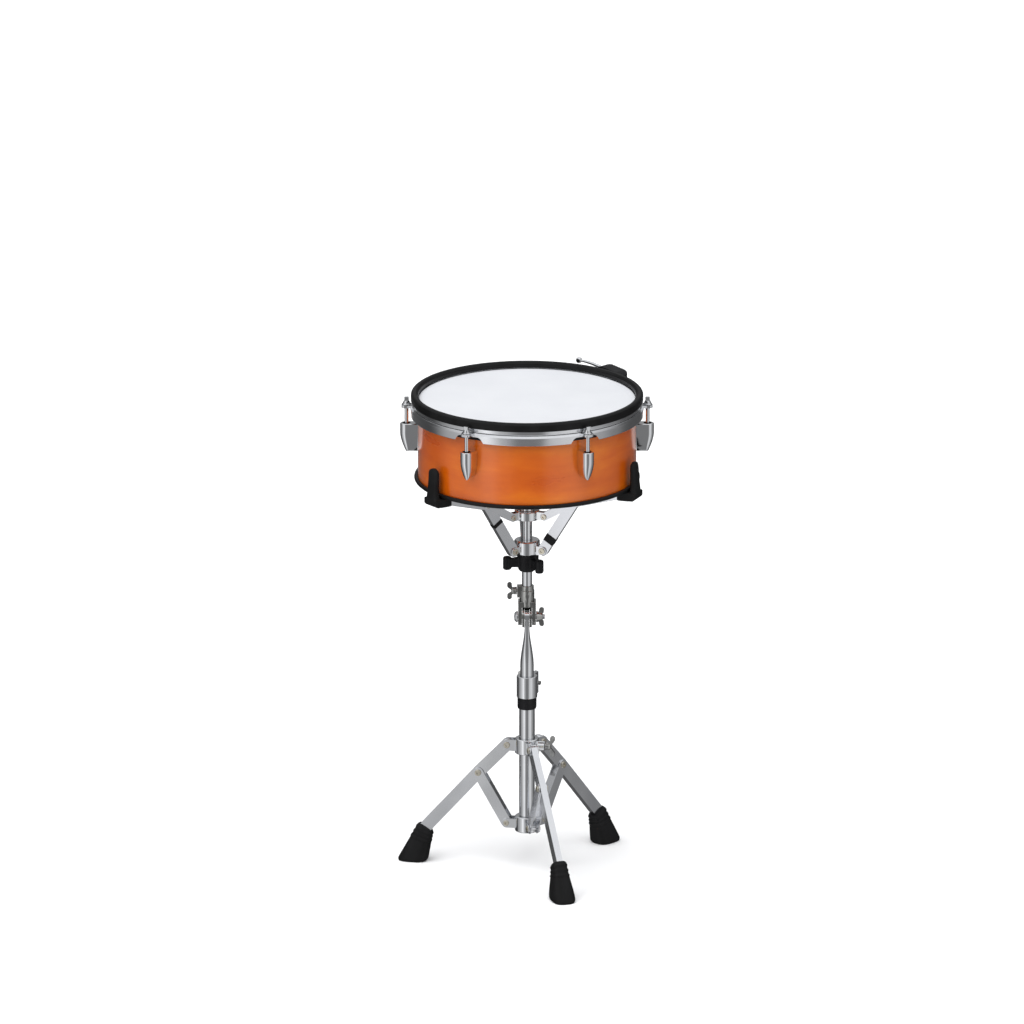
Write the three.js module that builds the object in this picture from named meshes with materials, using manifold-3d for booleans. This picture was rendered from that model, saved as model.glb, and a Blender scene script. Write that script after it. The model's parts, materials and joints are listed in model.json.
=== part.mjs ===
// Twelve-inch trigger snare drum standing in the basket of a folding tripod stand.
// Millimetres, +Z up. The origin is on the floor, on the axis of the stand's column, and the
// player sits on the -Y side. A bearing is an angle about +Z from -Y towards +X. Heights are
// counted from a level a little above the floor, and addPiece() lifts each piece to the floor.
import * as THREE from "three";
import { mergeVertices } from "three/addons/utils/BufferGeometryUtils.js";
import Module from "manifold-3d";

// ---------------------------------------------------------------- driving dimensions

export const GAP = 0.3; // running clearance between neighbouring pieces
export const FLOOR = -14; // height of the floor
const RING_SIDES = 36; // facets of the drum's large rings, all in phase with each other
const HUB_SIDES = 16;
const FINE_SIDES = 108; // for cuts that follow a round wall closely

export const DRUM = {
  shellRadius: 152.4,
  shellWall: 7,
  bottom: 555,
  shellTop: 669.5,
  headTop: 670.4,
  rimTop: 680,
  rubberRadius: 162,
  rubberInner: 151.5,
  hoopBottom: 648,
  hoopRadius: 162.6,
  earTop: 662,
  trimRadius: 157.5,
  trimTop: 560.5,
  rodRadius: 168, // radius of the circle that the tension rods stand on
  rodBearings: [30, 90, 150, -150, -90, -30],
};

export const LUG = { bottom: 600, top: 635.5, width: 17, reach: 177 };

export const STAND = {
  legBearings: [17.5, 137.5, -102.5],
  armBearings: [-53, 67, -173],
  barDepth: 17,
  barWidth: 9,
  linkWall: 1.6,
  cheekWall: 2,
  pinRadius: 2.8,
  baseTubeRadius: 11.1,
  baseTubeWall: 1.2,
  baseTubeTop: 244,
  upperTubeRadius: 9.55,
  tiltHeight: 353,
  rodRadius: 7.2,
};

// Pivots in the radial plane of a leg or an arm, as [distance from the column axis, height].
export const LEG = {
  collar: [27.5, 165],
  knee: [69, 121.5],
  hub: [28, 51],
  footTop: [145, 36],
  tip: [162, 13],
};
export const ARM = {
  lowerHub: [25, 453],
  elbow: [72, 529],
  tip: [150, 548],
  upperHub: [28, 503],
};

// ---------------------------------------------------------------- materials

const finish = (color, roughness, metalness) =>
  new THREE.MeshStandardMaterial({ color, roughness, metalness });
const chrome = () => finish(0xd4d6d9, 0.12, 1);
const castMetal = () => finish(0x8d8c88, 0.34, 1);
const blackRubber = () => finish(0x1d1d1f, 0.75, 0);
const blackPlastic = () => finish(0x141416, 0.42, 0);
const amberWood = () => finish(0xc45c18, 0.38, 0);
const meshHead = () => finish(0xebedf1, 0.8, 0);
const foam = () => finish(0x2c2c30, 0.95, 0);
const aluminium = () => finish(0xb9bcc0, 0.4, 1);

// ---------------------------------------------------------------- solids

const wasm = await Module();
wasm.setup();

// A closed three.js geometry as a solid that can be joined and cut.
function solid(geometry) {
  const bare = geometry.index ? geometry.toNonIndexed() : geometry.clone();
  bare.deleteAttribute("normal");
  bare.deleteAttribute("uv");
  const merged = mergeVertices(bare, 1e-4);
  const made = new wasm.Manifold(
    new wasm.Mesh({
      numProp: 3,
      vertProperties: new Float32Array(merged.attributes.position.array),
      triVerts: new Uint32Array(merged.index.array),
    }),
  );
  if (made.volume() < 0) throw new Error("a profile runs the wrong way round");
  return made;
}

function geometryOf(body) {
  const mesh = body.getMesh();
  const geometry = new THREE.BufferGeometry();
  geometry.setAttribute("position", new THREE.BufferAttribute(mesh.vertProperties, 3));
  geometry.setIndex(new THREE.BufferAttribute(mesh.triVerts, 1));
  geometry.computeVertexNormals();
  return geometry;
}

const join = (...bodies) => bodies.reduce((sum, body) => sum.add(body));
const cut = (body, ...tools) => tools.reduce((rest, tool) => rest.subtract(tool), body);

function signedArea(points) {
  return points.reduce((sum, [x, y], i) => {
    const [nextX, nextY] = points[(i + 1) % points.length];
    return sum + (x * nextY - nextX * y) / 2;
  }, 0);
}

// A ring or disc about Z from its section, given as [radius, height] corners in order.
function turned(section, segments = RING_SIDES) {
  const wound = signedArea(section) > 0 ? section : [...section].reverse();
  const closed = [...wound, wound[0]].map(([r, z]) => new THREE.Vector2(Math.max(r, 0), z));
  return solid(new THREE.LatheGeometry(closed, segments).rotateX(Math.PI / 2));
}

const disc = (radius, low, high, segments = 24) =>
  turned([[0, low], [radius, low], [radius, high], [0, high]], segments);

const ring = (inner, outer, low, high, segments = RING_SIDES) =>
  turned([[inner, low], [outer, low], [outer, high], [inner, high]], segments);

const placed = (body, x, y, z) => body.translate([x, y, z]);

// A bar of round section along X, Y or Z between two values of that axis, through (u, v).
function bar(axis, radius, from, to, [u, v] = [0, 0], segments = 12) {
  const upright = new THREE.CylinderGeometry(radius, radius, to - from, segments);
  const middle = (from + to) / 2;
  if (axis === "x") return solid(upright.rotateZ(Math.PI / 2).translate(middle, u, v));
  if (axis === "y") return solid(upright.translate(u, middle, v));
  return solid(upright.rotateX(Math.PI / 2).translate(u, v, middle));
}

function box([x0, y0, z0], [x1, y1, z1]) {
  const block = new THREE.BoxGeometry(x1 - x0, y1 - y0, z1 - z0);
  return solid(block.translate((x0 + x1) / 2, (y0 + y1) / 2, (z0 + z1) / 2));
}

// A flat outline pulled along Z.
function slab(shape, low, high, curveSegments = 8) {
  const options = { depth: high - low, bevelEnabled: false, curveSegments };
  return solid(new THREE.ExtrudeGeometry(shape, options).translate(0, 0, low));
}

const polygon = (points) => new THREE.Shape(points.map(([x, y]) => new THREE.Vector2(x, y)));

// An outline in the radial plane, [distance out, height], given its width across X.
// The outward direction is -Y, and the piece spans X from low to high.
function radialSlab(shape, low, high, curveSegments = 8) {
  const options = { depth: high - low, bevelEnabled: false, curveSegments };
  const flat = new THREE.ExtrudeGeometry(shape, options).translate(0, 0, -high);
  return solid(flat.rotateX(Math.PI / 2).rotateZ(-Math.PI / 2));
}

// An outline seen from the front, [across, height], pulled along Y between near and far.
function frontSlab(shape, near, far) {
  const flat = new THREE.ExtrudeGeometry(shape, { depth: far - near, bevelEnabled: false });
  return solid(flat.rotateX(Math.PI / 2).translate(0, far, 0));
}

// The outline of a bar of even depth that follows points, with a round end at each end.
function barOutline(points, depth, capSteps = 4) {
  const half = depth / 2;
  const path = points.map(([x, y]) => new THREE.Vector2(x, y));
  const directions = path.slice(1).map((p, i) => p.clone().sub(path[i]).normalize());
  const side = (sign) =>
    path.map((p, i) => {
      const before = directions[Math.max(i - 1, 0)];
      const after = directions[Math.min(i, directions.length - 1)];
      const mean = before.clone().add(after).normalize();
      const normal = new THREE.Vector2(-mean.y, mean.x);
      const stretch = half / normal.dot(new THREE.Vector2(-before.y, before.x));
      return p.clone().addScaledVector(normal, sign * stretch);
    });
  const cap = (centre, facing) => {
    const from = Math.atan2(facing.y, facing.x) + Math.PI / 2;
    return Array.from({ length: capSteps - 1 }, (_, i) => {
      const angle = from - (Math.PI * (i + 1)) / capSteps;
      return new THREE.Vector2(centre.x + half * Math.cos(angle), centre.y + half * Math.sin(angle));
    });
  };
  const last = directions.length - 1;
  const farCap = cap(path[last + 1], directions[last]);
  const nearCap = cap(path[0], directions[0].clone().negate());
  return new THREE.Shape([...side(1), ...farCap, ...side(-1).reverse(), ...nearCap]);
}

// A cross pin or cross hole at a pivot of the radial plane.
const crossBar = ([r, z], radius, low, high, segments = 8) =>
  bar("x", radius, low, high, [-r, z], segments);

// ---------------------------------------------------------------- scene tree

const snareDrum = new THREE.Group();

function addPiece(name, body, material, bearing = 0) {
  const mesh = new THREE.Mesh(geometryOf(body), material);
  mesh.name = name;
  mesh.position.z = -FLOOR;
  mesh.rotation.z = THREE.MathUtils.degToRad(bearing);
  snareDrum.add(mesh);
}

function addCopies(stem, bearings, body, material) {
  bearings.forEach((bearing, i) => addPiece(stem + "_" + (i + 1), body, material(), bearing));
}

// ---------------------------------------------------------------- drum

const JACK = { width: 58, low: 609, high: 635, depth: 30, panelWidth: 72, panelDepth: 3.2 };

function shell() {
  const { shellRadius: outer, shellWall, bottom, shellTop } = DRUM;
  const inner = outer - shellWall;
  const low = bottom + 3.3;
  const wall = turned(
    [
      [inner, low], [outer, low], [outer, shellTop - 3], [outer - 2, shellTop], [outer - 3, shellTop],
      [inner, shellTop - 5],
    ],
    RING_SIDES,
  );
  const half = JACK.width / 2 + GAP;
  return cut(wall, box([-half, inner - 20, JACK.low - GAP], [half, outer + 20, JACK.high + GAP]));
}

function bottomEdgeTrim() {
  const { shellRadius, shellWall, bottom, trimRadius, trimTop } = DRUM;
  const inner = shellRadius - shellWall;
  return turned(
    [
      [inner - 2.5, bottom], [trimRadius, bottom], [trimRadius, trimTop],
      [shellRadius + GAP, trimTop], [shellRadius + GAP, bottom + 3],
      [inner - GAP, bottom + 3], [inner - GAP, trimTop], [inner - 2.5, trimTop],
    ],
    RING_SIDES,
  );
}

const FLESH_TOP = 658;

function drumHead() {
  const { shellRadius, headTop } = DRUM;
  const film = 0.6;
  const lip = shellRadius + GAP;
  return turned(
    [
      [0, headTop - film], [shellRadius - 2.2, headTop - film], [lip, headTop - 3.6], [lip, FLESH_TOP + GAP],
      [lip + film, FLESH_TOP + GAP], [lip + film, headTop - 3.2], [shellRadius - 2, headTop], [0, headTop],
    ],
    RING_SIDES,
  );
}

function fleshHoop() {
  return ring(DRUM.shellRadius + 0.5, DRUM.shellRadius + 6, FLESH_TOP - 7, FLESH_TOP);
}

function counterHoop() {
  const { hoopBottom, hoopRadius: outer, earTop, rodRadius, rodBearings } = DRUM;
  const wall = 2.4;
  const ledge = 661;
  const neck = 158.4;
  const body = turned(
    [
      [outer - wall, hoopBottom], [outer, hoopBottom], [outer, ledge - 3.5], [outer - 1.2, ledge - 2],
      [outer - 1.2, ledge + 0.6], [neck, ledge + 2], [neck, 675.5], [neck - 2.2, 675.5],
      [neck - 2.2, ledge + 1], [neck - 4.2, ledge + 1], [neck - 4.2, FLESH_TOP + GAP],
      [outer - wall, FLESH_TOP + GAP],
    ],
    RING_SIDES,
  );
  const earOutline = new THREE.Shape();
  earOutline.moveTo(9, -outer + 3);
  earOutline.lineTo(-9, -outer + 3);
  earOutline.lineTo(-7, -rodRadius);
  earOutline.absarc(0, -rodRadius, 7, Math.PI, 2 * Math.PI, false);
  const ear = slab(earOutline, earTop - 4, earTop, 5);
  const hole = disc(3.6, hoopBottom - 1, earTop + 1, 10).translate([0, -rodRadius, 0]);
  const notch = polygon([[-21, 640], [21, 640], [19, 649], [13, 656.5], [-13, 656.5], [-19, 649]]);
  const notchCut = frontSlab(notch, -170, -150);
  const turnedTo = (piece, bearing) => piece.rotate([0, 0, bearing]);
  return rodBearings.reduce((hoop, bearing) => {
    const eared = hoop.subtract(turnedTo(notchCut, bearing)).add(turnedTo(ear, bearing));
    return eared.subtract(turnedTo(hole, bearing));
  }, body);
}

function rubberHoopCover() {
  const { rubberRadius: outer, rubberInner: inner, rimTop } = DRUM;
  const low = 668;
  const slotIn = 156.2 - GAP;
  const slotOut = 158.4 + GAP;
  const slotTop = 675.8;
  return turned(
    [
      [slotOut, low], [outer, low], [outer, rimTop - 3], [outer - 3, rimTop], [inner + 3, rimTop],
      [inner, rimTop - 3], [inner, low + 4], [slotIn, low + 4], [slotIn, slotTop], [slotOut, slotTop],
    ],
    RING_SIDES,
  );
}

function lug() {
  const { bottom, top, width, reach } = LUG;
  const back = DRUM.shellRadius + GAP;
  const half = width / 2;
  const side = polygon([
    [back - 6, bottom], [reach - 8, bottom], [reach - 3, bottom + 11], [reach, top - 9], [reach, top - 0.5],
    [reach - 1.5, top], [back - 6, top],
  ]);
  const front = polygon([
    [-half, top], [-half, bottom + 12], [-half + 1.6, bottom + 5], [-half + 4, bottom],
    [half - 4, bottom], [half - 1.6, bottom + 5], [half, bottom + 12], [half, top],
  ]);
  const plan = polygon([
    [-half, -back + 8], [-half, -reach + 11], [-2.6, -reach + 0.2], [0, -reach], [2.6, -reach + 0.2],
    [half, -reach + 11], [half, -back + 8],
  ]);
  const face = frontSlab(front, -190, -130);
  const blank = radialSlab(side, -half, half).intersect(face).intersect(slab(plan, bottom, top));
  const well = disc(5.6, top - 4, top + 1, 12).translate([0, -DRUM.rodRadius, 0]);
  const bore = disc(3.3, bottom + 7, top, 10).translate([0, -DRUM.rodRadius, 0]);
  return cut(blank, disc(back, bottom - 5, top + 5, FINE_SIDES), well, bore);
}

function tensionRod() {
  const { rodRadius, earTop } = DRUM;
  const rest = earTop + GAP;
  const stem = turned(
    [[0, 608], [3, 608], [3, rest], [6.3, rest], [6.3, rest + 1.6], [3.8, rest + 6], [0, rest + 6]],
    12,
  );
  const key = box([-3.4, -3.4, rest + 5], [3.4, 3.4, 676.6]);
  return placed(join(stem, key), 0, -rodRadius, 0);
}

const BRIDGE = { half: 15, low: 628, thickness: 3 };

function sensorBridge() {
  const inner = DRUM.shellRadius - DRUM.shellWall - 2 * GAP;
  const { half, low, thickness } = BRIDGE;
  const web = box([-inner - 5, -half, low], [inner + 5, half, low + thickness]);
  const ends = [-1, 1].map((side) => {
    const [from, to] = side < 0 ? [-inner - 5, -inner + 5] : [inner - 5, inner + 5];
    return box([from, -half, low - 22], [to, half, low + thickness]);
  });
  const bore = disc(inner, low - 30, low + 30, 96);
  return join(web, ...ends).intersect(bore);
}

function sensorDisc() {
  return disc(17, BRIDGE.low + BRIDGE.thickness + GAP, BRIDGE.low + BRIDGE.thickness + 2.4, HUB_SIDES);
}

function sensorFoamCone() {
  const low = BRIDGE.low + BRIDGE.thickness + 2.4 + GAP;
  const top = DRUM.headTop - 0.6 - GAP;
  return turned([[0, low], [16, low], [9, top - 3], [7.5, top], [0, top]], HUB_SIDES);
}

function jackBox() {
  const { width, low, high, depth, panelWidth, panelDepth } = JACK;
  const outer = DRUM.shellRadius;
  const body = box([-width / 2, outer - depth, low], [width / 2, outer + 1, high]);
  const panelHalf = panelWidth / 2;
  const panel = box([-panelHalf, outer - 10, low - 6], [panelHalf, outer + panelDepth, high + 6]);
  const flange = cut(panel, disc(outer + GAP, low - 20, high + 20, FINE_SIDES));
  const socket = (x, radius) => bar("y", radius, outer - 16, outer + 10, [x, (low + high) / 2], 12);
  return cut(join(body, flange), socket(-14, 5.4), socket(14, 5.4));
}

const CONTROL = { bearing: 134, leverBearing: 150, radius: 164.5, low: 655, high: 681 };
const LEVER = { pivot: [-21.5, -177, 672.5], length: 39.5, rise: 7, thickness: 5 };

function controlHousing() {
  const { bearing, leverBearing, radius, low, high } = CONTROL;
  const [from, to] = [-17, 21];
  const outer = radius + 18;
  const plan = polygon([
    [from, -radius + 8], [from, -outer + 4], [from + 4, -outer], [to - 4, -outer],
    [to, -outer + 4], [to, -radius + 8],
  ]);
  const slope = polygon([[from, low], [to, low], [to, high], [from + 8, high - 3], [from, high - 8]]);
  const wedge = frontSlab(slope, -200, -140);
  const [x, y, z] = LEVER.pivot;
  const bracket = join(
    box([x - 9, y + 3.3, z - 8], [x + 4.5, y + 6.6, z + 4.5]),
    bar("y", 2.2, y - 4, y + 5, [x, z], 12),
  );
  const body = join(slab(plan, low, high).intersect(wedge), bracket.rotate([0, 0, leverBearing - bearing]));
  return cut(body, disc(DRUM.hoopRadius + GAP, low - 5, high + 5, FINE_SIDES));
}

function controlLever() {
  const { pivot, length, rise, thickness } = LEVER;
  const [x, y, z] = pivot;
  const half = thickness / 2;
  const outline = barOutline([[x, z], [x + length / 2, z + rise * 0.7], [x + length, z + rise]], 6);
  const blade = frontSlab(outline, y - half, y + half);
  const knob = solid(new THREE.SphereGeometry(4.6, 10, 6)).translate([x + length, y, z + rise]);
  const hub = bar("y", 4.2, y - half - 0.4, y + half + 0.4, [x, z], 14);
  const hole = bar("y", 2.5, y - 10, y + 10, [x, z], 12);
  return cut(join(blade, knob, hub), hole);
}

function buildDrum() {
  addPiece("shell", shell(), amberWood());
  addPiece("bottom_edge_trim", bottomEdgeTrim(), blackRubber());
  addPiece("drum_head", drumHead(), meshHead());
  addPiece("head_flesh_hoop", fleshHoop(), blackPlastic());
  addPiece("counter_hoop", counterHoop(), chrome());
  addPiece("rubber_hoop_cover", rubberHoopCover(), blackRubber());
  addCopies("lug", DRUM.rodBearings, lug(), chrome);
  addCopies("tension_rod", DRUM.rodBearings, tensionRod(), chrome);
  addPiece("sensor_bridge", sensorBridge(), aluminium());
  addPiece("sensor_disc", sensorDisc(), blackPlastic());
  addPiece("sensor_foam_cone", sensorFoamCone(), foam());
  addPiece("jack_box", jackBox(), blackPlastic());
  addPiece("control_housing", controlHousing(), blackPlastic(), CONTROL.bearing);
  addPiece("control_lever", controlLever(), chrome(), CONTROL.leverBearing);
}

// ---------------------------------------------------------------- tripod base

const HALF_BAR = STAND.barWidth / 2;
const LINK_IN = HALF_BAR + GAP;
const LINK_OUT = LINK_IN + STAND.linkWall;
const COLLAR_BOLT_BEARING = 77.5;

// A hub that holds three pivots: cheeks run out to each pivot, a slot is cut between them for
// the end of a bar, and a pin crosses both cheeks.
function pivotHub(core, bearings, pivot, { inside, thickness, depth, slotRadius, root }) {
  const outline = barOutline([[root, pivot[1]], pivot], depth);
  const cheek = (near, far) => radialSlab(outline, Math.min(near, far), Math.max(near, far));
  const cheeks = join(cheek(inside, inside + thickness), cheek(-inside, -inside - thickness));
  const slot = crossBar(pivot, slotRadius, -inside, inside, 14);
  const reach = inside + thickness + 1.4;
  const pin = crossBar(pivot, STAND.pinRadius, -reach, reach);
  const around = (body) => bearings.map((bearing) => body.rotate([0, 0, bearing]));
  return { body: cut(join(core, ...around(cheeks)), ...around(slot)), pins: around(pin) };
}

function baseTube() {
  const { baseTubeRadius: outer, baseTubeWall, baseTubeTop } = STAND;
  return ring(outer - baseTubeWall, outer, 62.3, baseTubeTop, HUB_SIDES);
}

function lowerHub() {
  const { baseTubeRadius: outer, legBearings } = STAND;
  const core = turned([[0, 40], [15.5, 40], [17, 41.5], [17, 60.5], [15.5, 62], [0, 62]], HUB_SIDES);
  const ears = { inside: LINK_OUT + GAP, thickness: 1.8, depth: 13, slotRadius: 8.6, root: 12 };
  const { body, pins } = pivotHub(core, legBearings, LEG.hub, ears);
  const spigot = ring(outer - 4, outer - STAND.baseTubeWall - GAP, 61, 72, HUB_SIDES);
  return join(body, ...pins, spigot);
}

function legCollar() {
  const { baseTubeRadius, cheekWall, legBearings } = STAND;
  const core = turned([[0, 154], [15.7, 154], [17, 155.3], [17, 174.7], [15.7, 176], [0, 176]], HUB_SIDES);
  const ears = { inside: LINK_IN, thickness: cheekWall, depth: 16, slotRadius: 9.2, root: 12 };
  const { body, pins } = pivotHub(core, legBearings, LEG.collar, ears);
  const boss = bar("y", 7, -26, -14, [0, 165], 16).rotate([0, 0, COLLAR_BOLT_BEARING]);
  const thread = bar("y", 3.3, -27, -10, [0, 165], 12).rotate([0, 0, COLLAR_BOLT_BEARING]);
  const bore = disc(baseTubeRadius + GAP, 150, 180, HUB_SIDES);
  return join(cut(join(body, boss), bore, thread), ...pins);
}

function leg() {
  const { barDepth, pinRadius } = STAND;
  const outline = barOutline([LEG.collar, LEG.knee, LEG.footTop, LEG.tip], barDepth);
  const hole = crossBar(LEG.collar, pinRadius + GAP, -10, 10);
  return cut(radialSlab(outline, -HALF_BAR, HALF_BAR, 5), hole);
}

// A U-shaped link that straddles a bar: two walls joined by a web along one long edge.
function straddleLink(from, to, depth, webSide, webFrom, webTo) {
  const outline = barOutline([from, to], depth);
  const walls = [-LINK_OUT, LINK_IN].map((low) => radialSlab(outline, low, low + STAND.linkWall, 5));
  const start = new THREE.Vector2(...from);
  const along = new THREE.Vector2(...to).sub(start);
  const length = along.length();
  along.normalize();
  const across = new THREE.Vector2(-along.y, along.x).multiplyScalar(webSide);
  const corner = (distance, offset) =>
    start.clone().addScaledVector(along, distance).addScaledVector(across, offset).toArray();
  const outerEdge = depth / 2;
  const innerEdge = outerEdge - STAND.linkWall;
  const web = polygon([
    corner(webFrom, innerEdge), corner(length - webTo, innerEdge),
    corner(length - webTo, outerEdge), corner(webFrom, outerEdge),
  ]);
  const winding = signedArea(web.getPoints().map((p) => [p.x, p.y]));
  const ordered = winding > 0 ? web : polygon(web.getPoints().reverse().map((p) => [p.x, p.y]));
  return join(...walls, radialSlab(ordered, -LINK_OUT, LINK_OUT));
}

function rivetHeads(pivot, radius = 4.6, height = 1.6) {
  return [-1, 1].map((side) => {
    const near = side * (LINK_OUT - 0.4);
    const far = side * (LINK_OUT + height);
    return crossBar(pivot, radius, Math.min(near, far), Math.max(near, far), 10);
  });
}

function brace() {
  const link = straddleLink(LEG.hub, LEG.knee, 15, 1, 17, 20);
  const hole = crossBar(LEG.hub, STAND.pinRadius + GAP, -10, 10);
  return join(cut(link, hole), ...rivetHeads(LEG.knee));
}

function foot() {
  const outline = polygon([
    [135, 30], [142, FLOOR + 8], [143, FLOOR + 2], [146, FLOOR], [178, FLOOR],
    [183, FLOOR + 3], [184, FLOOR + 9], [158, 39], [154, 43],
  ]);
  const body = radialSlab(outline, -17, 17);
  const plan = polygon([
    [-9.5, -122], [-9.5, -150], [-16, -162], [-17, -171], [-12, -181], [-5, -186],
    [5, -186], [12, -181], [17, -171], [16, -162], [9.5, -150], [9.5, -122],
  ]);
  const socket = barOutline([LEG.knee, LEG.footTop, LEG.tip], STAND.barDepth + 2 * GAP);
  return cut(body.intersect(slab(plan, FLOOR - 1, 60)), radialSlab(socket, -HALF_BAR - GAP, HALF_BAR + GAP));
}

// A wing bolt along -Y: a shank, a round nut body and two wings.
function wingBolt(shankFrom, start, wingSpan, shankRadius = 3) {
  const shank = bar("y", shankRadius, -start - 6, -shankFrom, [0, 0], 16);
  const nut = bar("y", 5.6, -start - 8, -start, [0, 0], 18);
  const wings = [-1, 1].map((side) => {
    const outline = barOutline([[start + 4, 0], [start + 10, side * wingSpan]], 7);
    return radialSlab(outline, -1.6, 1.6, 6);
  });
  return join(shank, nut, ...wings);
}

function buildTripod() {
  addPiece("base_tube", baseTube(), chrome());
  addPiece("lower_hub", lowerHub(), chrome());
  addPiece("leg_collar", legCollar(), chrome());
  const collarBolt = wingBolt(12.4, 26.5, 12).translate([0, 0, 165]);
  addPiece("collar_wing_bolt", collarBolt, castMetal(), COLLAR_BOLT_BEARING);
  addCopies("leg", STAND.legBearings, leg(), chrome);
  addCopies("brace", STAND.legBearings, brace(), chrome);
  addCopies("foot", STAND.legBearings, foot(), blackRubber);
}

// ---------------------------------------------------------------- column

const CLAMP = { low: 236, high: 267, radius: 14.6, flangeBearing: 158 };

function clampBushing() {
  const bore = STAND.baseTubeRadius + GAP;
  return turned([[bore, 219.5], [12.9, 219.5], [13.4, 221], [13.4, 235.7], [bore, 235.7]], HUB_SIDES);
}

function heightClamp() {
  const { low, high, radius } = CLAMP;
  const body = turned(
    [
      [0, low], [radius - 0.8, low], [radius, low + 0.8], [radius, high - 0.8],
      [radius - 0.8, high], [0, high],
    ],
    HUB_SIDES,
  );
  const lugs = box([-7.5, -27, low], [7.5, -8, high]);
  const split = box([-1.2, -30, low - 1], [1.2, -5, high + 1]);
  const screwHole = bar("x", 3.3, -10, 10, [-20.5, (low + high) / 2], 16);
  const tubeSeat = disc(STAND.baseTubeRadius + GAP, low - 1, STAND.baseTubeTop + GAP, HUB_SIDES);
  const bore = disc(STAND.upperTubeRadius + GAP, low - 1, high + 1, HUB_SIDES);
  return cut(join(body, lugs), split, screwHole, tubeSeat, bore).rotate([0, 0, CLAMP.flangeBearing]);
}

function heightWingBolt() {
  const middle = (CLAMP.low + CLAMP.high) / 2;
  const bolt = wingBolt(-12, 8.2, 11).rotate([0, 0, 90]);
  return bolt.translate([0, -20.5, middle]).rotate([0, 0, CLAMP.flangeBearing]);
}

const TONGUE = { halfThickness: 3.4, halfWidth: 12, low: 338 };

// The upper tube: round below, then squeezed step by step into a flat tongue that is thin
// across X and wide across Y, as one loft of elliptical sections with square shoulders.
function upperTube() {
  const { upperTubeRadius: radius, tiltHeight } = STAND;
  const sides = 20;
  const squeezeFrom = 282;
  const low = 84;
  const sections = [[low, 0], [squeezeFrom, 0]];
  for (let step = 1; step <= 4; step += 1) {
    const t = step / 4;
    sections.push([squeezeFrom + t * (TONGUE.low - squeezeFrom), t * t * (3 - 2 * t)]);
  }
  sections.push([tiltHeight, 1]);
  const positions = [];
  const corner = ([z, squeeze], i) => {
    const angle = (2 * Math.PI * (i % sides)) / sides;
    const x = radius + squeeze * (TONGUE.halfThickness - radius);
    const y = radius + squeeze * (TONGUE.halfWidth - radius);
    const power = 1 - 0.55 * squeeze;
    const shaped = (value) => Math.sign(value) * Math.abs(value) ** power;
    return [x * shaped(Math.cos(angle)), y * shaped(Math.sin(angle)), z];
  };
  const triangle = (a, b, c) => positions.push(...a, ...b, ...c);
  sections.slice(1).forEach((upper, k) => {
    const lower = sections[k];
    for (let i = 0; i < sides; i += 1) {
      triangle(corner(lower, i), corner(lower, i + 1), corner(upper, i + 1));
      triangle(corner(lower, i), corner(upper, i + 1), corner(upper, i));
    }
  });
  const top = sections[sections.length - 1];
  for (let i = 0; i < sides; i += 1) {
    triangle([0, 0, sections[0][0]], corner(sections[0], i + 1), corner(sections[0], i));
    triangle([0, 0, top[0]], corner(top, i), corner(top, i + 1));
  }
  const geometry = new THREE.BufferGeometry();
  geometry.setAttribute("position", new THREE.Float32BufferAttribute(positions, 3));
  const { halfThickness, halfWidth } = TONGUE;
  const roundTop = bar("x", halfWidth, -halfThickness, halfThickness, [0, tiltHeight], HUB_SIDES);
  const boltHole = bar("x", 3.9, -10, 10, [0, tiltHeight], 12);
  const hollow = disc(radius - 1.2, low - 5, 270, 24);
  return cut(join(solid(geometry), roundTop), boltHole, hollow);
}

// The lower tilter casting wraps the tongue; its two side faces carry the ratchet teeth.
function tilterLower() {
  const { tiltHeight } = STAND;
  const outline = new THREE.Shape();
  outline.moveTo(-13.5, 341);
  outline.lineTo(13.5, 341);
  outline.lineTo(14, tiltHeight);
  outline.absarc(0, tiltHeight, 14, 0, Math.PI, false);
  const body = radialSlab(outline, -6.7, 6.7, 10);
  const slotHalf = TONGUE.halfThickness + GAP;
  const slot = box([-slotHalf, -20, 330], [slotHalf, 20, tiltHeight + 12.4]);
  const boltHole = bar("x", 3.9, -10, 10, [0, tiltHeight], 12);
  return cut(body, slot, boltHole);
}

function tilterUpper() {
  const { tiltHeight, rodRadius } = STAND;
  const cheek = new THREE.Shape();
  cheek.moveTo(-12, tiltHeight);
  cheek.absarc(0, tiltHeight, 12, Math.PI, 2 * Math.PI, false);
  cheek.lineTo(9.6, 375);
  cheek.lineTo(-9.6, 375);
  const cheeks = [radialSlab(cheek, -12.5, -7, 10), radialSlab(cheek, 7, 12.5, 10)];
  const bridge = box([-12.5, -9.6, 368.6], [12.5, 9.6, 377]);
  const socket = turned([[0, 369], [10.4, 369], [10.4, 391], [9.6, 392], [0, 392]], HUB_SIDES);
  const clampLug = box([-14, -5.5, 382], [-6, 5.5, 399]);
  const collar = disc(9.6, 391, 399, HUB_SIDES);
  const bore = disc(rodRadius + GAP, 376, 405, 24);
  const screw = bar("x", 3.2, -20, -5, [0, 391], 16);
  const boltHole = bar("x", 3.9, -20, 20, [0, tiltHeight], 12);
  return cut(join(...cheeks, bridge, socket, collar, clampLug), bore, screw, boltHole);
}

function tilterBolt() {
  const shank = bar("x", 3.5, -15, 25, [0, STAND.tiltHeight], 18);
  const head = turned([[0, 0], [8, 0], [8, 1.6], [5.4, 4.4], [0, 5.4]], 20)
    .rotate([0, -90, 0]).translate([-12.8, 0, STAND.tiltHeight]);
  return join(shank, head);
}

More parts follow.
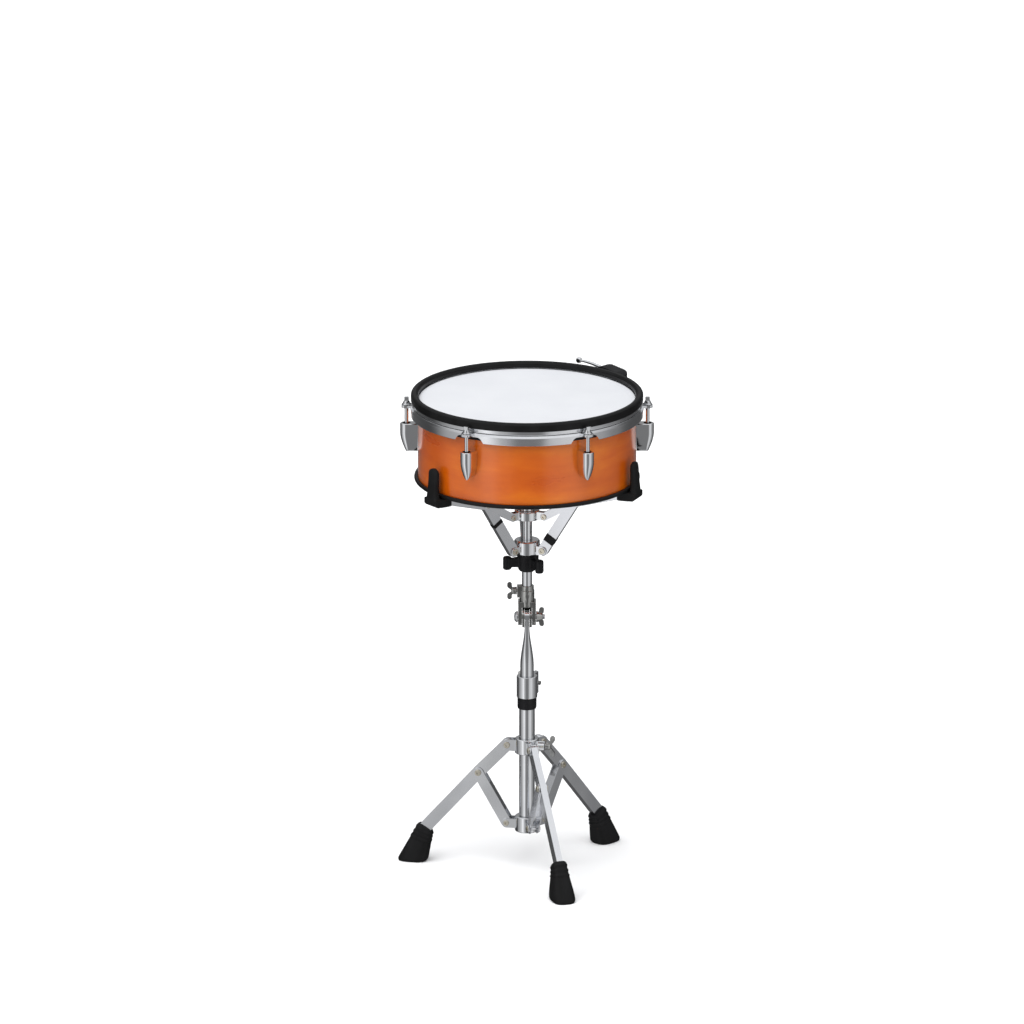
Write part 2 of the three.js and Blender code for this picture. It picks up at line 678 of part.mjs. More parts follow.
// A wing nut on X whose wings stand up and down.
function tilterWingNut() {
  const nut = turned([[0, 12.8], [8.2, 12.8], [6.4, 19], [5.2, 22], [0, 22]], 20).rotate([0, 90, 0]);
  const wingOutline = (side) => barOutline([[16.5, side * 2], [21, side * 10.5]], 6.4);
  const wings = [-1, 1].map((side) => frontSlab(wingOutline(side), -1.7, 1.7));
  const hole = bar("x", 3.8, 10, 30, [0, 0], 18);
  return cut(join(nut, ...wings), hole).translate([0, 0, STAND.tiltHeight]);
}

function rodClampBolt() {
  const bolt = wingBolt(8.2, 14.3, 9, 2.9).rotate([0, 0, -90]);
  return bolt.translate([0, 0, 391]);
}

function buildColumn() {
  addPiece("clamp_bushing", clampBushing(), blackPlastic());
  addPiece("height_clamp", heightClamp(), chrome());
  addPiece("height_wing_bolt", heightWingBolt(), castMetal());
  addPiece("upper_tube", upperTube(), chrome());
  addPiece("tilter_lower", tilterLower(), castMetal());
  addPiece("tilter_upper", tilterUpper(), castMetal());
  addPiece("tilter_bolt", tilterBolt(), chrome());
  addPiece("tilter_wing_nut", tilterWingNut(), castMetal());
  addPiece("rod_clamp_bolt", rodClampBolt(), castMetal());
}

// ---------------------------------------------------------------- basket

const ARM_DEPTH = 15;
const TIP_DEPTH = 8; // the arm inside its grip
const KNOB = { low: 423, high: 446.2, reach: 34, lobeBearings: [-82, 38, 158] };

function basketRod() {
  const radius = STAND.rodRadius;
  return turned(
    [[0, 378.3], [radius - 1, 378.3], [radius, 379.3], [radius, 509.3], [radius + 3.4, 509.3],
      [radius + 3.4, 513.5], [radius, 516.5], [0, 516.5]],
    HUB_SIDES,
  );
}

function basketUpperHub() {
  const core = turned([[0, 496], [16, 496], [17.5, 497.5], [17.5, 507.5], [16, 509], [0, 509]], HUB_SIDES);
  const ears = STAND.armBearings.map((bearing) => {
    const outline = barOutline([[10, ARM.upperHub[1]], ARM.upperHub], 11);
    const blade = radialSlab(outline, -HALF_BAR, HALF_BAR);
    const pin = crossBar(ARM.upperHub, STAND.pinRadius, -LINK_OUT - 1.4, LINK_OUT + 1.4);
    return join(blade, pin).rotate([0, 0, bearing]);
  });
  const bore = disc(STAND.rodRadius + GAP, 490, 520, HUB_SIDES);
  return cut(join(core, ...ears), bore);
}

function basketLowerHub() {
  const { armBearings, cheekWall, rodRadius } = STAND;
  const core = turned(
    [[0, 446.8], [17, 446.8], [18, 447.8], [18, 464], [16.5, 466], [0, 466]],
    HUB_SIDES,
  );
  const ears = { inside: LINK_IN, thickness: cheekWall, depth: 12.4, slotRadius: 8.2, root: 10 };
  const { body, pins } = pivotHub(core, armBearings, ARM.lowerHub, ears);
  return join(cut(body, disc(rodRadius + GAP, 430, 470, HUB_SIDES)), ...pins);
}

function basketKnob() {
  const { low, high, reach, lobeBearings } = KNOB;
  const core = turned(
    [[0, low - 3], [10, low - 3], [12.5, low], [13, high - 4], [15.5, high], [0, high]],
    HUB_SIDES,
  );
  const lobes = lobeBearings.map((bearing) => {
    const side = polygon([
      [8, low + 2], [22, low + 3], [reach - 2, low], [reach, low + 3], [reach, high - 7],
      [reach - 3, high - 4], [22, high - 7], [8, high - 3],
    ]);
    return radialSlab(side, -5, 5).rotate([0, 0, bearing]);
  });
  const bore = disc(STAND.rodRadius + GAP, low - 10, high + 5, HUB_SIDES);
  return cut(join(core, ...lobes), bore);
}

// The arm's outer stretch, which tapers from the elbow to its tip, grown by a margin.
function armEnd(margin) {
  const elbow = new THREE.Vector2(...ARM.elbow);
  const tip = new THREE.Vector2(...ARM.tip);
  const along = tip.clone().sub(elbow).normalize();
  const normal = new THREE.Vector2(-along.y, along.x);
  const corner = (point, depth) => {
    const place = point.clone().addScaledVector(normal, depth);
    return [place.x, place.y];
  };
  const root = ARM_DEPTH / 2 + margin;
  const end = TIP_DEPTH / 2 + margin;
  tip.addScaledVector(along, margin);
  return polygon([corner(elbow, -root), corner(tip, -end), corner(tip, end), corner(elbow, root)]);
}

function basketArm() {
  const inner = radialSlab(barOutline([ARM.lowerHub, ARM.elbow], ARM_DEPTH), -HALF_BAR, HALF_BAR, 6);
  const outer = radialSlab(armEnd(0), -HALF_BAR, HALF_BAR, 6);
  const hole = crossBar(ARM.lowerHub, STAND.pinRadius + GAP, -10, 10);
  return cut(join(inner, outer), hole);
}

function basketStrut() {
  const link = straddleLink(ARM.upperHub, ARM.elbow, 11, 1, 11, 14);
  const hole = crossBar(ARM.upperHub, STAND.pinRadius + GAP, -10, 10);
  return join(cut(link, hole), ...rivetHeads(ARM.elbow, 4, 1.4));
}

// Rubber grip: a wide foot under the drum's edge and a finger that stands outside the shell.
function grip() {
  const seat = DRUM.bottom - GAP;
  const inner = DRUM.trimRadius + GAP;
  const side = new THREE.Shape();
  side.moveTo(141, 541.5);
  side.lineTo(163.5, 542.5);
  side.quadraticCurveTo(169.5, 543.5, 169.5, 551);
  side.lineTo(166.5, 592);
  side.quadraticCurveTo(165.5, 597.5, 161.5, 597.5);
  side.quadraticCurveTo(158.3, 597.5, inner, 592);
  side.lineTo(inner, seat);
  side.lineTo(141, seat);
  const front = polygon([
    [-14, 537], [14, 537], [14, 551], [12.5, 559], [11, 575], [10, 592], [7, 598],
    [-7, 598], [-10, 592], [-11, 575], [-12.5, 559], [-14, 551],
  ]);
  const body = radialSlab(side, -15, 15, 5).intersect(frontSlab(front, -185, -125));
  const round = disc(inner, 500, 700, FINE_SIDES);
  const upright = box([-20, -180, seat + 0.01], [20, -100, 620]).intersect(round);
  return cut(body, upright, radialSlab(armEnd(GAP), -HALF_BAR - GAP, HALF_BAR + GAP));
}

function buildBasket() {
  addPiece("basket_rod", basketRod(), chrome());
  addPiece("basket_upper_hub", basketUpperHub(), chrome());
  addPiece("basket_lower_hub", basketLowerHub(), chrome());
  addPiece("basket_knob", basketKnob(), blackPlastic());
  addCopies("basket_arm", STAND.armBearings, basketArm(), chrome);
  addCopies("basket_strut", STAND.armBearings, basketStrut(), chrome);
  addCopies("grip", STAND.armBearings, grip(), blackRubber);
}

buildDrum();
buildTripod();
buildColumn();
buildBasket();

export default snareDrum;
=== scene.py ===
import json
import math

import bmesh
import bpy
from mathutils import Matrix, Vector


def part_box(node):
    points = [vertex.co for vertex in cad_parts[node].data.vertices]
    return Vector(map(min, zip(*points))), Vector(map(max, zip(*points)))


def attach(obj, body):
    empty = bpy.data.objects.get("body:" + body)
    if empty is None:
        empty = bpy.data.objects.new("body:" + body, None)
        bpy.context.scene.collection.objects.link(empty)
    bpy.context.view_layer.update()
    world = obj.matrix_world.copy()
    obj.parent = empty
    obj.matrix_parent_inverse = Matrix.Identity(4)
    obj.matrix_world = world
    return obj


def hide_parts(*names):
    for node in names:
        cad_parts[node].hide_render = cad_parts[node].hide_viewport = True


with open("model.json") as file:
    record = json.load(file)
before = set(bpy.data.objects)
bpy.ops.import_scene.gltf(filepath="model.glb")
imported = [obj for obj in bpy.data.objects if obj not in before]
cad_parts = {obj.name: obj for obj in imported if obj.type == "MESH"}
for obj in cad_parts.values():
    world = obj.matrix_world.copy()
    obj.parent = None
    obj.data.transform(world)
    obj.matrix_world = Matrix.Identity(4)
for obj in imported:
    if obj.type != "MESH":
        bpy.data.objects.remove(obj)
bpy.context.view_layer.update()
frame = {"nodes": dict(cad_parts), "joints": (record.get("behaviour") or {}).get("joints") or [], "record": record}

# Shapes are worked out in millimetres and become metres in mesh_of(). A repeated part is made at
# the front, where outward is -Y, and turned about Z to its bearing (from -Y towards +X). Heights
# are counted from a level a little above the floor, and piece() lifts each mesh to the floor.
MM = 0.001
FLOOR = -14
GAP = 0.3
JOINTS = {joint["name"]: joint for joint in frame["joints"]}
BODY_OF = {
    node: body
    for body, nodes in frame["record"]["behaviour"]["bodies"].items()
    for node in nodes
}


# ---------------------------------------------------------------- reading the frame


def span(node):
    """Lowest and highest corner of a CAD node, in millimetres."""
    lift = Vector((0, 0, FLOOR))
    low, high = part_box(node)
    return low / MM + lift, high / MM + lift


def pivot(joint):
    """A joint's place in its radial plane: distance from the column axis, and height."""
    x, y, z = (value / MM for value in JOINTS[joint]["pos_m"])
    return math.hypot(x, y), z + FLOOR


def bearing_of(joint):
    x, y, _ = JOINTS[joint]["pos_m"]
    return math.degrees(math.atan2(x, -y))


SHELL_R = span("shell")[1].x
SHELL_TOP = span("shell")[1].z
SHELL_IN = SHELL_R - 7
DRUM_LOW = span("bottom_edge_trim")[0].z
HEAD_TOP = span("drum_head")[1].z
HOOP_LOW = span("counter_hoop")[0].z
RIM_TOP = span("rubber_hoop_cover")[1].z
FLESH_LOW, FLESH_TOP = (corner.z for corner in span("head_flesh_hoop"))
ROD_R = pivot("tension_rod_1_turn")[0]
ROD_BEARINGS = [bearing_of(f"tension_rod_{i}_turn") for i in range(1, 7)]
LEG_BEARINGS = [bearing_of(f"leg_{i}_fold") for i in range(1, 4)]
ARM_BEARINGS = [bearing_of(f"arm_{i}_swing") for i in range(1, 4)]
COLLAR, HUB = pivot("leg_1_fold"), pivot("brace_1_fold")
LOWER, UPPER = pivot("arm_1_swing"), pivot("strut_1_swing")
TILT_Z = pivot("tilt")[1]
KNEE, FOOT_TOP, LEG_END = (69, 121.5), (145, 36), (153.5, 24.5)
ELBOW, ARM_TIP = (72, 529), (150, 548)
BAR_DEPTH, BAR_HALF, ARM_DEPTH, TIP_DEPTH = 17, 4.5, 15, 8
LINK_IN = BAR_HALF + GAP
LINK_OUT = LINK_IN + 1.6


# ---------------------------------------------------------------- mesh tools


def fillet(corners, steps=5):
    """Corners given as (x, y, radius) become arcs; corners given as (x, y) stay sharp."""
    points = []
    for i, (x, y, *rest) in enumerate(corners):
        corner = Vector((x, y))
        before = Vector(corners[i - 1][:2]) - corner
        after = Vector(corners[(i + 1) % len(corners)][:2]) - corner
        if not rest or rest[0] <= 0:
            points.append(corner)
            continue
        angle = before.angle(after)
        if math.pi - angle < 0.02:
            points.append(corner)
            continue
        reach = min(rest[0] / math.tan(angle / 2), 0.49 * before.length, 0.49 * after.length)
        radius = reach * math.tan(angle / 2)
        middle = (before.normalized() + after.normalized()).normalized()
        centre = corner + middle * radius / math.sin(angle / 2)
        start = corner + before.normalized() * reach - centre
        end = corner + after.normalized() * reach - centre
        turn = math.pi - angle
        for k in range(steps + 1):
            share = k / steps
            arm = start * math.sin((1 - share) * turn) + end * math.sin(share * turn)
            points.append(centre + arm / math.sin(turn))
    return points


def mesh_of(bm):
    bmesh.ops.scale(bm, vec=(MM, MM, MM), verts=bm.verts)
    bmesh.ops.recalc_face_normals(bm, faces=bm.faces)
    mesh = bpy.data.meshes.new("part")
    bm.to_mesh(mesh)
    bm.free()
    return mesh


def skin(bm, rings, closed=False, caps=True):
    """Faces between rings of vertices; a vertex used twice in a face is dropped."""
    pairs = list(zip(rings, rings[1:]))
    if closed:
        pairs.append((rings[-1], rings[0]))
    for lower, upper in pairs:
        for k, here in enumerate(lower):
            after = (k + 1) % len(lower)
            corners = list(dict.fromkeys((here, lower[after], upper[after], upper[k])))
            if len(corners) > 2:
                bm.faces.new(corners)
    if caps and not closed:
        bm.faces.new(rings[0])
        bm.faces.new(rings[-1])


def lathe(section, sides=96):
    """A ring or disc about Z from its section: [distance out, height] corners in order."""
    bm = bmesh.new()
    rings = []
    for out, up in fillet(section):
        if out < 1e-4:
            rings.append([bm.verts.new((0, 0, up))] * sides)
            continue
        angles = [2 * math.pi * k / sides for k in range(sides)]
        rings.append([bm.verts.new((out * math.cos(a), out * math.sin(a), up)) for a in angles])
    skin(bm, rings, closed=True)
    return mesh_of(bm)


def disc(radius, low, high, sides):
    return lathe([(0, low), (radius, low), (radius, high), (0, high)], sides)


def loft(sections):
    """A closed body through rings of points, all with the same number of points."""
    bm = bmesh.new()
    skin(bm, [[bm.verts.new(point) for point in section] for section in sections])
    return mesh_of(bm)


def oval(centre, along, across, power=2.0, count=40):
    """A ring of points round centre: an ellipse at power 2, squarer with a higher power."""
    points = []
    for k in range(count):
        angle = 2 * math.pi * k / count
        c, s = math.cos(angle), math.sin(angle)
        u = math.copysign(abs(c) ** (2 / power), c)
        v = math.copysign(abs(s) ** (2 / power), s)
        points.append(Vector(centre) + Vector(along) * u + Vector(across) * v)
    return points


def radial(out, up, across):
    return (across, -out, up)


def facing(across, up, depth):
    return (across, depth, up)


def plan(x, y, z):
    return (x, y, z)


def prism(outline, low, high, place=radial, bevel=0.0, steps=3):
    """An outline pulled from low to high, with its two rims rounded by bevel."""
    bm = bmesh.new()
    points = fillet(outline)
    rings = [[bm.verts.new(place(x, y, level)) for x, y in points] for level in (low, high)]
    skin(bm, rings)
    if bevel:
        rims = [edge for edge in bm.edges if any(len(face.verts) == len(points) for face in edge.link_faces)]
        bmesh.ops.bevel(
            bm, geom=rims, offset=bevel, offset_type="OFFSET", segments=steps,
            profile=0.5, affect="EDGES", clamp_overlap=True,
        )
    return mesh_of(bm)


def circle(radius, centre=(0, 0), count=48):
    angles = [2 * math.pi * k / count for k in range(count)]
    return [(centre[0] + radius * math.cos(a), centre[1] + radius * math.sin(a)) for a in angles]


def block(low, high, bevel=0.0):
    x0, y0, z0 = low
    x1, y1, z1 = high
    return prism([(x0, y0), (x1, y0), (x1, y1), (x0, y1)], z0, z1, plan, bevel)


def bar_outline(path, depth, bend=22.0, steps=12):
    """The outline of a bar of even depth that follows path, with a round end at each end."""
    half = depth / 2
    points = [Vector(p) for p in path]
    ways = [(b - a).normalized() for a, b in zip(points, points[1:])]

    def side(sign):
        corners = []
        for i, point in enumerate(points):
            before, after = ways[max(i - 1, 0)], ways[min(i, len(ways) - 1)]
            mean = (before + after).normalized()
            normal = Vector((-mean.y, mean.x))
            stretch = half / normal.dot(Vector((-before.y, before.x)))
            turn = math.copysign(1, before.x * after.y - before.y * after.x)
            inside = 0 < i < len(points) - 1
            radius = bend - sign * turn * half if inside else 0
            corners.append((*(point + normal * sign * stretch), radius))
        return corners

    def cap(centre, way):
        start = math.atan2(way.y, way.x) + math.pi / 2
        angles = [start - math.pi * k / steps for k in range(1, steps)]
        return [(centre.x + half * math.cos(a), centre.y + half * math.sin(a)) for a in angles]

    return [*side(1), *cap(points[-1], ways[-1]), *side(-1)[::-1], *cap(points[0], -ways[0])]


def moved(mesh, turn=Matrix.Identity(4), by=(0, 0, 0)):
    """A copy of a mesh, turned and then moved by millimetres."""
    copy = mesh.copy()
    copy.transform(Matrix.Translation(Vector(by) * MM) @ turn)
    return copy


def bearing_turn(bearing):
    return Matrix.Rotation(math.radians(bearing), 4, "Z")


TO_X = Matrix.Rotation(math.pi / 2, 4, "Y")  # +Z becomes +X
TO_FRONT = Matrix.Rotation(math.pi / 2, 4, "X")  # +Z becomes -Y


def boolean(base, tool, operation):
    carrier = bpy.data.objects.new("carrier", base)
    other = bpy.data.objects.new("tool", tool)
    for obj in (carrier, other):
        bpy.context.scene.collection.objects.link(obj)
    modifier = carrier.modifiers.new("cut", "BOOLEAN")
    modifier.operation = operation
    modifier.object = other
    modifier.solver = "MANIFOLD"
    graph = bpy.context.evaluated_depsgraph_get()
    result = bpy.data.meshes.new_from_object(carrier.evaluated_get(graph))
    for obj in (carrier, other):
        bpy.data.objects.remove(obj)
    return result


def join(first, *others):
    for other in others:
        first = boolean(first, other, "UNION")
    return first


def cut(first, *tools):
    for tool in tools:
        first = boolean(first, tool, "DIFFERENCE")
    return first


def soften(mesh, voxel=0.8, rounds=4):
    """Rounds every edge of a moulded piece: an even remesh, then a few rounds of smoothing."""
    carrier = bpy.data.objects.new("carrier", mesh)
    bpy.context.scene.collection.objects.link(carrier)
    modifier = carrier.modifiers.new("even", "REMESH")
    modifier.mode = "VOXEL"
    modifier.voxel_size = voxel * MM
    graph = bpy.context.evaluated_depsgraph_get()
    even = bpy.data.meshes.new_from_object(carrier.evaluated_get(graph))
    bpy.data.objects.remove(carrier)
    bm = bmesh.new()
    bm.from_mesh(even)
    for _ in range(rounds):
        bmesh.ops.smooth_vert(
            bm, verts=bm.verts, factor=0.5, use_axis_x=True, use_axis_y=True, use_axis_z=True
        )
    bm.to_mesh(even)
    bm.free()
    return even


# ---------------------------------------------------------------- materials


class Nodes:
    """A material's node tree, with short calls for the nodes that the materials share."""

    def __init__(self, name, colour, roughness, metallic=0.0, **sockets):
        self.material = bpy.data.materials.new(name)
        self.material.use_nodes = True
        self.tree = self.material.node_tree
        self.shader = self.tree.nodes["Principled BSDF"]
        self.shader.inputs["Base Color"].default_value = (*colour, 1)
        self.shader.inputs["Roughness"].default_value = roughness
        self.shader.inputs["Metallic"].default_value = metallic
        for socket, value in sockets.items():
            self.shader.inputs[socket.replace("_", " ")].default_value = value
        self.place = self.tree.nodes.new("ShaderNodeTexCoord").outputs["Object"]

    def link(self, out, into):
        self.tree.links.new(out, into)

    def noise(self, scale, stretch=(1, 1, 1), detail=4.0, roughness=0.55):
        mapping = self.tree.nodes.new("ShaderNodeMapping")
        mapping.inputs["Scale"].default_value = stretch
        self.link(self.place, mapping.inputs["Vector"])
        node = self.tree.nodes.new("ShaderNodeTexNoise")
        node.inputs["Scale"].default_value = scale
        node.inputs["Detail"].default_value = detail
        node.inputs["Roughness"].default_value = roughness
        self.link(mapping.outputs["Vector"], node.inputs["Vector"])
        return node.outputs["Fac"]

    def ramp(self, factor, stops):
        node = self.tree.nodes.new("ShaderNodeValToRGB")
        elements = node.color_ramp.elements
        while len(elements) < len(stops):
            elements.new(0.5)
        for element, (position, colour) in zip(elements, stops):
            element.position = position
            element.color = (*colour, 1)
        self.link(factor, node.inputs["Fac"])
        return node.outputs["Color"]

    def span(self, factor, low, high, start=0.3, end=0.7):
        """Maps factor from start..end to low..high."""
        node = self.tree.nodes.new("ShaderNodeMapRange")
        node.inputs["From Min"].default_value = start
        node.inputs["From Max"].default_value = end
        node.inputs["To Min"].default_value = low
        node.inputs["To Max"].default_value = high
        self.link(factor, node.inputs["Value"])
        return node.outputs["Result"]

    def mix(self, factor, first, second, blend="MIX"):
        node = self.tree.nodes.new("ShaderNodeMix")
        node.data_type = "RGBA"
        node.blend_type = blend
        for socket, value in zip((node.inputs[0], node.inputs[6], node.inputs[7]), (factor, first, second)):
            if isinstance(value, bpy.types.NodeSocket):
                self.link(value, socket)
            else:
                socket.default_value = value if isinstance(value, float) else (*value, 1)
        return node.outputs[2]

    def math(self, operation, first, second=0.0):
        node = self.tree.nodes.new("ShaderNodeMath")
        node.operation = operation
        for socket, value in zip(node.inputs, (first, second)):
            if isinstance(value, bpy.types.NodeSocket):
                self.link(value, socket)
            else:
                socket.default_value = value
        return node.outputs[0]

    def colour(self, out):
        self.link(out, self.shader.inputs["Base Color"])

    def roughness(self, out):
        self.link(out, self.shader.inputs["Roughness"])

    def bump(self, height, distance, strength=1.0):
        node = self.tree.nodes.new("ShaderNodeBump")
        node.inputs["Distance"].default_value = distance
        node.inputs["Strength"].default_value = strength
        self.link(height, node.inputs["Height"])
        self.link(node.outputs["Normal"], self.shader.inputs["Normal"])


def chrome_plate():
    """Bright plate with faint handling marks."""
    nodes = Nodes("chrome_plate", (0.86, 0.87, 0.88), 0.07, 1.0)
    smears = nodes.noise(38, detail=5)
    nodes.roughness(nodes.span(smears, 0.05, 0.13))
    nodes.colour(nodes.ramp(nodes.noise(16), [(0.3, (0.80, 0.81, 0.83)), (0.7, (0.89, 0.90, 0.91))]))
    nodes.bump(nodes.noise(420, detail=2), 0.00002, 0.25)
    return nodes.material


def bar_chrome():
    """Plate over flat bar and pressed sheet: softer, with slow waves."""
    nodes = Nodes("bar_chrome", (0.82, 0.83, 0.85), 0.16, 1.0)
    nodes.roughness(nodes.span(nodes.noise(30, detail=5), 0.12, 0.22))
    patches = nodes.noise(14, detail=3)
    nodes.colour(nodes.ramp(patches, [(0.3, (0.80, 0.81, 0.84)), (0.7, (0.87, 0.88, 0.89))]))
    waves = nodes.noise(13, detail=1)
    ripple = nodes.math("MULTIPLY", nodes.noise(260, detail=2), 0.004)
    nodes.bump(nodes.math("ADD", waves, ripple), 0.004, 0.6)
    return nodes.material


def cast_plate():
    """Plated casting: greyer, with the slight ripple of the mould."""
    nodes = Nodes("cast_plate", (0.5, 0.5, 0.49), 0.14, 1.0)
    nodes.roughness(nodes.span(nodes.noise(90), 0.08, 0.18))
    nodes.colour(nodes.ramp(nodes.noise(60), [(0.3, (0.30, 0.30, 0.29)), (0.7, (0.54, 0.54, 0.52))]))
    nodes.bump(nodes.noise(70, detail=2), 0.0022, 0.7)
    return nodes.material


def nickel():
    """Warm plate of the screws and rivets."""
    nodes = Nodes("nickel", (0.74, 0.69, 0.58), 0.2, 1.0)
    nodes.roughness(nodes.span(nodes.noise(200), 0.14, 0.3))
    nodes.colour(nodes.ramp(nodes.noise(150), [(0.3, (0.62, 0.57, 0.46)), (0.7, (0.82, 0.78, 0.68))]))
    nodes.bump(nodes.noise(900, detail=2), 0.00003, 0.3)
    return nodes.material


def black_rubber(name, shade, low, high, grain):
    nodes = Nodes(name, (shade, shade, shade * 1.05), 0.7, Specular_IOR_Level=0.2)
    patches = nodes.noise(45, detail=5)
    darker, lighter = (shade * 0.7,) * 3, (shade * 1.5, shade * 1.5, shade * 1.6)
    nodes.colour(nodes.ramp(patches, [(0.3, darker), (0.7, lighter)]))
    nodes.roughness(nodes.span(patches, low, high))
    nodes.bump(nodes.noise(grain, detail=3), 0.00012, 0.5)
    return nodes.material


def black_plastic():
    nodes = Nodes("black_plastic", (0.006, 0.006, 0.007), 0.4, Specular_IOR_Level=0.2)
    nodes.roughness(nodes.span(nodes.noise(80), 0.34, 0.5))
    nodes.colour(nodes.ramp(nodes.noise(50), [(0.3, (0.004, 0.004, 0.005)), (0.7, (0.010, 0.010, 0.011))]))
    nodes.bump(nodes.noise(1400, detail=2), 0.00006, 0.35)
    return nodes.material


def amber_wood():
    """Stained wood whose faint grain runs round the shell, under gloss lacquer."""
    nodes = Nodes(
        "amber_wood", (0.5, 0.1, 0.004), 0.4, Coat_Weight=1.0, Coat_Roughness=0.14, Coat_IOR=1.6,
        Specular_IOR_Level=1.0, Specular_Tint=(1.0, 0.45, 0.08, 1),
    )
    broad = nodes.noise(1, (7, 7, 22), detail=4)
    fibre = nodes.noise(1, (18, 18, 520), detail=6, roughness=0.65)
    pores = nodes.noise(1, (50, 50, 2200), detail=3)
    stain = nodes.ramp(
        broad, [(0.3, (0.47, 0.064, 0.001)), (0.5, (0.56, 0.096, 0.002)), (0.7, (0.67, 0.152, 0.003))]
    )
    lines = nodes.ramp(fibre, [(0.3, (0.72, 0.62, 0.5)), (0.62, (1.0, 1.0, 1.0))])
    specks = nodes.ramp(pores, [(0.28, (0.7, 0.6, 0.5)), (0.42, (1.0, 1.0, 1.0))])
    grained = nodes.mix(0.12, stain, lines, "MULTIPLY")
    nodes.colour(nodes.mix(0.1, grained, specks, "MULTIPLY"))
    nodes.roughness(nodes.span(broad, 0.27, 0.31))
    nodes.bump(broad, 0.00002, 0.2)
    return nodes.material


def mesh_weave():
    """White woven head: threads of about a millimetre, crossing at right angles."""
    nodes = Nodes("mesh_weave", (0.84, 0.85, 0.88), 0.62, Sheen_Weight=0.15)
    parts = nodes.tree.nodes.new("ShaderNodeSeparateXYZ")
    nodes.link(nodes.place, parts.inputs[0])
    pitch = 0.0009
    turns = [nodes.math("SINE", nodes.math("MULTIPLY", parts.outputs[k], math.pi / pitch)) for k in (0, 1)]
    threads = nodes.math("MAXIMUM", *(nodes.math("ABSOLUTE", turn) for turn in turns))
    cloud = nodes.noise(9, detail=3)
    white = nodes.ramp(cloud, [(0.3, (0.62, 0.63, 0.655)), (0.7, (0.67, 0.68, 0.70))])
    holes = nodes.ramp(threads, [(0.25, (0.62, 0.64, 0.68)), (0.75, (1.0, 1.0, 1.0))])
    nodes.colour(nodes.mix(0.35, white, holes, "MULTIPLY"))
    nodes.bump(threads, 0.00012, 0.5)
    return nodes.material


def grey_foam():
    nodes = Nodes("grey_foam", (0.05, 0.05, 0.055), 0.95)
    cells = nodes.noise(700, detail=3)
    nodes.colour(nodes.ramp(cells, [(0.3, (0.03, 0.03, 0.034)), (0.7, (0.09, 0.09, 0.1))]))
    nodes.bump(cells, 0.0004, 0.8)
    return nodes.material


def brushed_aluminium():
    nodes = Nodes("brushed_aluminium", (0.7, 0.71, 0.73), 0.35, 1.0)
    lines = nodes.noise(1, (30, 900, 900), detail=4)
    nodes.roughness(nodes.span(lines, 0.28, 0.44))
    nodes.colour(nodes.ramp(lines, [(0.3, (0.62, 0.63, 0.65)), (0.7, (0.76, 0.77, 0.79))]))
    nodes.bump(lines, 0.00005, 0.4)
    return nodes.material


MATERIALS = {
    "chrome": chrome_plate(),
    "bar": bar_chrome(),
    "cast_metal": cast_plate(),
    "nickel": nickel(),
    "black_rubber": black_rubber("moulded_rubber", 0.006, 0.5, 0.7, 900),
    "edge_rubber": black_rubber("edge_rubber", 0.006, 0.36, 0.5, 1200),
    "hoop_rubber": black_rubber("hoop_rubber", 0.005, 0.38, 0.5, 1500),
    "black_plastic": black_plastic(),
    "amber_wood": amber_wood(),
    "mesh_head": mesh_weave(),
    "foam": grey_foam(),
    "aluminium": brushed_aluminium(),
}


# ---------------------------------------------------------------- pieces


def piece(name, mesh, finish, node=None, body=None, bearing=0.0, sharp=34):
    """A detailed piece. It stands for a CAD node, or rides on a body as an extra detail."""
    data = moved(mesh, bearing_turn(bearing), (0, 0, -FLOOR))
    data.name = name
    data.materials.clear()
    data.materials.append(MATERIALS[finish])
    data.polygons.foreach_set("use_smooth", [True] * len(data.polygons))
    data.set_sharp_from_angle(angle=math.radians(sharp))
    obj = bpy.data.objects.new(name, data)
    bpy.context.scene.collection.objects.link(obj)
    even = obj.modifiers.new("even_shading", "WEIGHTED_NORMAL")
    even.keep_sharp = True
    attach(obj, body or BODY_OF[node])
    if node:
        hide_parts(node)
    return obj


def detailed(node, mesh, finish, bearing=0.0):
    return piece(node + "_detail", mesh, finish, node=node, bearing=bearing)


def copies(stem, bearings, mesh, finish):
    for i, bearing in enumerate(bearings, 1):
        detailed(f"{stem}_{i}", mesh, finish, bearing)


# ---------------------------------------------------------------- drum


def shell():
    low = span("shell")[0].z
    wall = lathe(
        [
            (SHELL_IN, low, 0.5), (SHELL_R, low, 0.5), (SHELL_R, SHELL_TOP - 3.2, 1.5),
            (SHELL_R - 2.2, SHELL_TOP, 0.7), (SHELL_R - 3.4, SHELL_TOP, 0.5),
            (SHELL_IN, SHELL_TOP - 5.6, 0.5),
        ],
        sides=288,
    )
    (left, _, jack_low), (right, _, jack_high) = span("jack_box")
    margin = 7.0
    window = block(
        (left + margin - GAP, SHELL_IN - 20, jack_low + 6 - GAP),
        (right - margin + GAP, SHELL_R + 20, jack_high - 6 + GAP),
    )
    detailed("shell", cut(wall, window), "amber_wood")


def bottom_edge_trim():
    out, top = span("bottom_edge_trim")[1].x, span("bottom_edge_trim")[1].z
    section = [
        (SHELL_IN - 2.5, DRUM_LOW, 1.6), (out, DRUM_LOW, 2.4), (out, top, 2.2), (SHELL_R + GAP, top, 0.4),
        (SHELL_R + GAP, DRUM_LOW + 3), (SHELL_IN - GAP, DRUM_LOW + 3), (SHELL_IN - GAP, top, 0.4),
        (SHELL_IN - 2.5, top, 0.8),
    ]
    detailed("bottom_edge_trim", lathe(section, 288), "edge_rubber")


